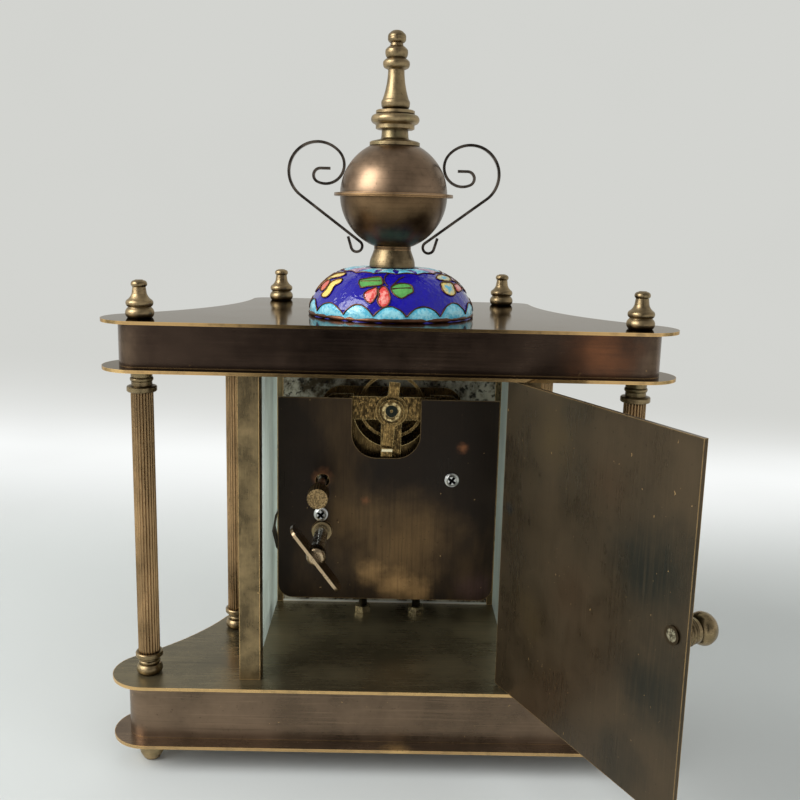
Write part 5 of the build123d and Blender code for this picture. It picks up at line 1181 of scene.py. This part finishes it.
class CLOCK_OT_dial_face(bpy.types.Operator):
    """Fires the dial white and lays on numerals, minute track and black hands"""

    bl_idname = "clock.dial_face"
    bl_label = "Dial"

    def execute(self, context):
        look = context.scene.dial_face
        paint(enamel("Dial_white", look.ivory, dim(look.ivory, 1.05), 0.3, 0.12), "dial")
        black = clouded_finish(
            "Dial_ink", 0.0, 0.35, dim(look.ink, 0.6), dim(look.ink, 2.2), 0.0008, 0.3, 0.75, detail=4
        )
        black_steel = clouded_finish(
            "Blackened_hand", 1.0, 0.3, dim(look.ink, 1.0), dim(look.ink, 4.0), 0.002, 0.35, 0.75
        )
        paint(black_steel, "minute_hand", "hour_hand")
        centre = middle_of("dial")
        centre.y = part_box("dial")[0].y
        for hour, word in enumerate(NUMERALS):
            turn = math.radians(30 * hour)
            text = bpy.data.curves.new(f"numeral_{hour or 12}", "FONT")
            text.body = word
            text.size = look.numeral_height * TYPE_SIZE
            text.align_x = text.align_y = "CENTER"
            text.space_character = LETTER_SPACING
            text.extrude = NUMERAL_RELIEF
            text.materials.append(black)
            piece = put(f"numeral_{hour or 12}", text)
            upright = Matrix.Rotation(turn, 4, "Y") @ Matrix.Rotation(math.pi / 2, 4, "X")
            where = Vector((math.sin(turn), 0, math.cos(turn))) * look.numeral_ring
            lifted = centre + where - Vector((0, NUMERAL_LIFT, 0))
            piece.matrix_world = Matrix.Translation(lifted) @ upright
            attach(piece, "case")
        track = new_piece("minute_track", *self.minute_track(look, centre), black, "case", False)
        return {"FINISHED"}

    def minute_track(self, look, centre):
        """Sixty marks between two fine rings."""
        marks = []
        base = centre - Vector((0, INK_LIFT, 0))
        for minute in range(60):
            turn = math.radians(6 * minute)
            half, reach = HOUR_MARK if minute % 5 == 0 else MINUTE_MARK
            along = Vector((math.sin(turn), 0, math.cos(turn)))
            across = Vector((math.cos(turn), 0, -math.sin(turn)))
            inner, outer = look.track_radius - reach * MM, look.track_radius
            corners = ((inner, -1), (inner, 1), (outer, 1), (outer, -1))
            verts = [base + along * r + across * half * w * MM for r, w in corners]
            marks.append((verts, [[0, 1, 2, 3]]))
        last = 2 * TRACK_SIDES
        faces = [[k, k + 1, (k + 3) % last, (k + 2) % last] for k in range(0, last, 2)]
        for radius in (look.track_radius, look.track_radius - TRACK_WIDTH):
            ring = []
            for k in range(TRACK_SIDES):
                turn = 2 * math.pi * k / TRACK_SIDES
                for r in (radius - LINE_HALF_WIDTH, radius + LINE_HALF_WIDTH):
                    ring.append(centre + Vector((math.sin(turn) * r, -INK_LIFT, math.cos(turn) * r)))
            marks.append((ring, faces))
        return join_parts(marks)


# x and z of each screw in millimetres, and how far its cross is turned
SCREW_PLACES = {"right": (22.8, 72.9, 0.75), "left": (-22.1, 86.1, 0.6)}
CROSS_RADIUS, CROSS_DEPTH, CROSS_ABOVE = 2.45 * MM, 1.0 * MM, 0.3 * MM
# shares of the radius: length and half width of an arm; and how it narrows from mouth to foot
CROSS_ARM, CROSS_HALF, CROSS_MOUTH, CROSS_FOOT = 0.68, 0.19, 1.12, 0.55


def cross_cutter(name, centre, turn):
    """The shape of a cross driver point, kept out of sight, that cuts a screw head."""
    arm, half = CROSS_RADIUS * CROSS_ARM, CROSS_RADIUS * CROSS_HALF
    corners = [(half, arm), (half, half), (arm, half), (arm, -half), (half, -half), (half, -arm)]
    corners += [(-x, -z) for x, z in corners]
    cosine, sine = math.cos(turn), math.sin(turn)
    outline = [(x * cosine - z * sine, x * sine + z * cosine) for x, z in corners]
    verts, count = [], len(outline)
    for y, grow in ((CROSS_ABOVE, CROSS_MOUTH), (-CROSS_DEPTH, CROSS_FOOT)):
        verts += [centre + Vector((x * grow, y, z * grow)) for x, z in outline]
    faces = [[i, (i + 1) % count, (i + 1) % count + count, i + count] for i in range(count)]
    faces += [list(range(count))[::-1], [i + count for i in range(count)]]
    mesh = mesh_of(name, verts, faces)
    look_outward(mesh)
    cutter = put(name, mesh)
    cutter.hide_render = True
    cutter.display_type = "WIRE"
    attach(cutter, "case")
    return cutter


class CLOCK_OT_screw_slots(bpy.types.Operator):
    """Cuts a cross recess in each cover screw"""

    bl_idname = "clock.screw_slots"
    bl_label = "Cross recesses"

    def execute(self, context):
        # painted shade: the cross recesses take a near black steel
        recess = steel_finish("Recess_painted_shade", (0.012, 0.011, 0.01), 0.5)
        for name, (x, z, turn) in SCREW_PLACES.items():
            centre = Vector((x * MM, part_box("cover_screws")[1].y, z * MM))
            cutter = cross_cutter(f"{name}_cross_point", centre, turn)
            cutter.data.materials.append(recess)
            cut = NODES["cover_screws"].modifiers.new(f"{name}_cross", "BOOLEAN")
            cut.object = cutter
            cut.operation = "DIFFERENCE"
            cut.solver = "EXACT"
            cut.material_mode = "TRANSFER"
        return {"FINISHED"}


# the floor: half its width, its near end, where it turns up, by what radius, and the wall's top
FLOOR_HALF, FLOOR_NEAR, TURN_Y, TURN_RADIUS, WALL_TOP, TURN_STEPS = 1.8, 1.6, -0.44, 0.28, 1.7, 16
CAMERA_PLACE = (-0.00023, 0.28277, 0.17465)
CAMERA_TILT, CAMERA_YAW, CAMERA_ROLL = 0.1911, 0.0109, -0.024
BACKDROP_LEVEL = 0.66
# place, what it looks at, and width
LAMPS = {
    "key_lamp": ((0.85, 0.45, 0.7), (0.0, 0.0, 0.12), 0.7),
    "fill_lamp": ((-0.6, 0.7, 0.8), (0.0, 0.0, 0.08), 1.2),
}


class CLOCK_OT_stage(bpy.types.Operator):
    """Sets up floor, backdrop, soft lamps, plain sky and camera"""

    bl_idname = "clock.stage"
    bl_label = "Stage"

    def execute(self, context):
        look = context.scene.studio_stage
        profile = [(FLOOR_NEAR, 0.0), (0.3, 0.0), (0.0, 0.0), (TURN_Y, 0.0)]
        for k in range(1, TURN_STEPS + 1):
            a = math.pi / 2 * k / TURN_STEPS
            profile.append((TURN_Y - TURN_RADIUS * math.sin(a), TURN_RADIUS * (1 - math.cos(a))))
        profile.append((TURN_Y - TURN_RADIUS, WALL_TOP))
        verts = [(x, y, z) for y, z in profile for x in (-FLOOR_HALF, FLOOR_HALF)]
        faces = [[2 * i, 2 * i + 1, 2 * i + 3, 2 * i + 2] for i in range(len(profile) - 1)]
        mesh = mesh_of("floor_sweep", verts, faces)
        for polygon in mesh.polygons:
            polygon.use_smooth = True
        mesh.materials.append(self.sweep_finish(look))
        put("floor_sweep", mesh)
        self.sky(look)
        self.lamp("key_lamp", look.key_power)
        self.lamp("fill_lamp", look.fill_power)
        camera = bpy.data.cameras.new("clock_camera")
        camera.lens = look.lens
        camera.sensor_width = 36.0
        camera.clip_start = 0.005
        eye = put("clock_camera", camera)
        yaw = Matrix.Rotation(math.pi - CAMERA_YAW, 4, "Z")
        tilt = Matrix.Rotation(math.pi / 2 - CAMERA_TILT, 4, "X")
        roll = Matrix.Rotation(-CAMERA_ROLL, 4, "Z")
        eye.matrix_world = Matrix.Translation(CAMERA_PLACE) @ yaw @ tilt @ roll
        bpy.context.scene.camera = eye
        bpy.context.scene.view_settings.view_transform = "Standard"
        return {"FINISHED"}

    def sweep_finish(self, look):
        """Pale floor that keeps shadows near the clock and turns into an even backdrop."""
        coat = Finish("Floor_and_backdrop", 0.0, 0.9)
        across, along = coat.part(coat.place, "X"), coat.part(coat.place, "Y")
        aside = coat.product(coat.sum("SUBTRACT", across, 0.35), 0.09)
        depth = coat.sum("ADD", along, aside)
        coat.body = coat.mix(look.floor, look.bright_band, coat.span(depth, -0.16, -0.42))
        coat.lay(look.wall, depth, -0.41, -0.60)
        shaded = coat.product(coat.span(across, 0.06, -0.22), coat.span(along, -0.28, -0.02))
        coat.lay_by((0.2, 0.21, 0.22), shaded, look.shaded_side)
        coat.lay(dim(look.wall, 0.9), coat.noise(0.2, detail=2), 0.4, 0.7, 0.1)
        coat.set("Specular IOR Level", 0.2)
        coat.done()
        glow = coat.add("ShaderNodeEmission", {"Color": coat.body, "Strength": 1.0})
        rays = coat.add("ShaderNodeLightPath").outputs
        bent = coat.sum("MAXIMUM", rays["Is Glossy Ray"], rays["Is Transmission Ray"])
        seen = coat.sum("MAXIMUM", rays["Is Camera Ray"], bent)
        far = coat.span(along, -0.16, -0.34)
        lit = coat.blend(coat.product(seen, far), coat.shader, glow)
        beyond = coat.product(coat.span(along, 0.6, 0.66), rays["Is Glossy Ray"])
        return coat.end_in(coat.blend(beyond, lit, coat.add("ShaderNodeBsdfTransparent")))

    def sky(self, look):
        """A plain pale surrounding, weaker overhead and in front, with an onlooker's dark shape."""
        world = bpy.data.worlds.new("Plain_sky")
        bpy.context.scene.world = world
        world.use_nodes = True
        sky = Graph(world.node_tree)
        where = sky.add("ShaderNodeTexCoord").outputs["Generated"]
        across, ahead, up = sky.add("ShaderNodeSeparateXYZ", {0: where}).outputs
        front_low = sky.span(up, 0.0, 0.3, 0.95, look.front_level)
        front = sky.span(ahead, 0.2, 0.85, 1.0, front_low)
        overhead = sky.span(up, 0.35, 0.95, 1.0, look.overhead_level)
        wall_side = sky.span(up, 0.0, 0.3, 1.0, look.wall_side_level)
        aside = sky.span(across, 0.15, -0.45, 1.0, wall_side)
        beside = sky.span(sky.sum("ABSOLUTE", across), 0.08, 0.24)
        onlooker = sky.sum("MAXIMUM", beside, sky.span(ahead, 0.4, 0.8, 1.0, 0.0))
        clear = sky.span(onlooker, 0.0, 1.0, 0.05, 1.0)
        around = sky.product(sky.product(front, overhead), sky.product(aside, clear))
        seen = sky.add("ShaderNodeLightPath").outputs["Is Camera Ray"]
        strength = sky.span(seen, 0.0, 1.0, sky.product(around, look.sky), BACKDROP_LEVEL)
        background = world.node_tree.nodes["Background"]
        sky.feed(background.inputs["Strength"], strength)
        sky.feed(background.inputs["Color"], (1.0, 1.0, 1.0))

    def lamp(self, name, power):
        """A square lamp that looks at the clock; only the key lamp shows in reflections."""
        place, target, size = LAMPS[name]
        data = bpy.data.lights.new(name, "AREA")
        data.shape = "SQUARE"
        data.size = size
        data.energy = power
        lamp = put(name, data)
        lamp.visible_glossy = name == "key_lamp"
        lamp.location = place
        direction = Vector(target) - Vector(place)
        lamp.rotation_euler = direction.to_track_quat("-Z", "Y").to_euler()


class CLOCK_PT_panel(bpy.types.Panel):
    """Lists the clock's pieces and their settings"""

    bl_idname = "CLOCK_PT_panel"
    bl_label = "Enamel Dome Mantel Clock"
    bl_space_type = "VIEW_3D"
    bl_region_type = "UI"
    bl_category = "Clock"

    def draw(self, context):
        for operator in OPERATORS:
            self.layout.operator(operator.bl_idname)
        for group in GROUPS:
            box = self.layout.box()
            box.label(text=group)
            for name in GROUPS[group].__annotations__:
                box.prop(getattr(context.scene, group), name)


GROUPS = {
    "clock_metals": ClockMetals,
    "enamel_dome": EnamelDome,
    "dial_face": DialFace,
    "clear_panes": ClearPanes,
    "studio_stage": StudioStage,
}
OPERATORS = (
    CLOCK_OT_stage,
    CLOCK_OT_case_finish,
    CLOCK_OT_ornament_finish,
    CLOCK_OT_glass,
    CLOCK_OT_door_finish,
    CLOCK_OT_movement_finish,
    CLOCK_OT_dial_face,
    CLOCK_OT_screw_slots,
    CLOCK_OT_enamel_dome,
)


def register():
    for thing in (*GROUPS.values(), *OPERATORS, CLOCK_PT_panel):
        bpy.utils.register_class(thing)
    for name, group in GROUPS.items():
        setattr(bpy.types.Scene, name, PointerProperty(type=group))


def unregister():
    for name in GROUPS:
        delattr(bpy.types.Scene, name)
    for thing in reversed((*GROUPS.values(), *OPERATORS, CLOCK_PT_panel)):
        bpy.utils.unregister_class(thing)


def main():
    register()
    for operator in OPERATORS:
        group, name = operator.bl_idname.split(".")
        getattr(getattr(bpy.ops, group), name)()


if __name__ == "__main__":
    main()
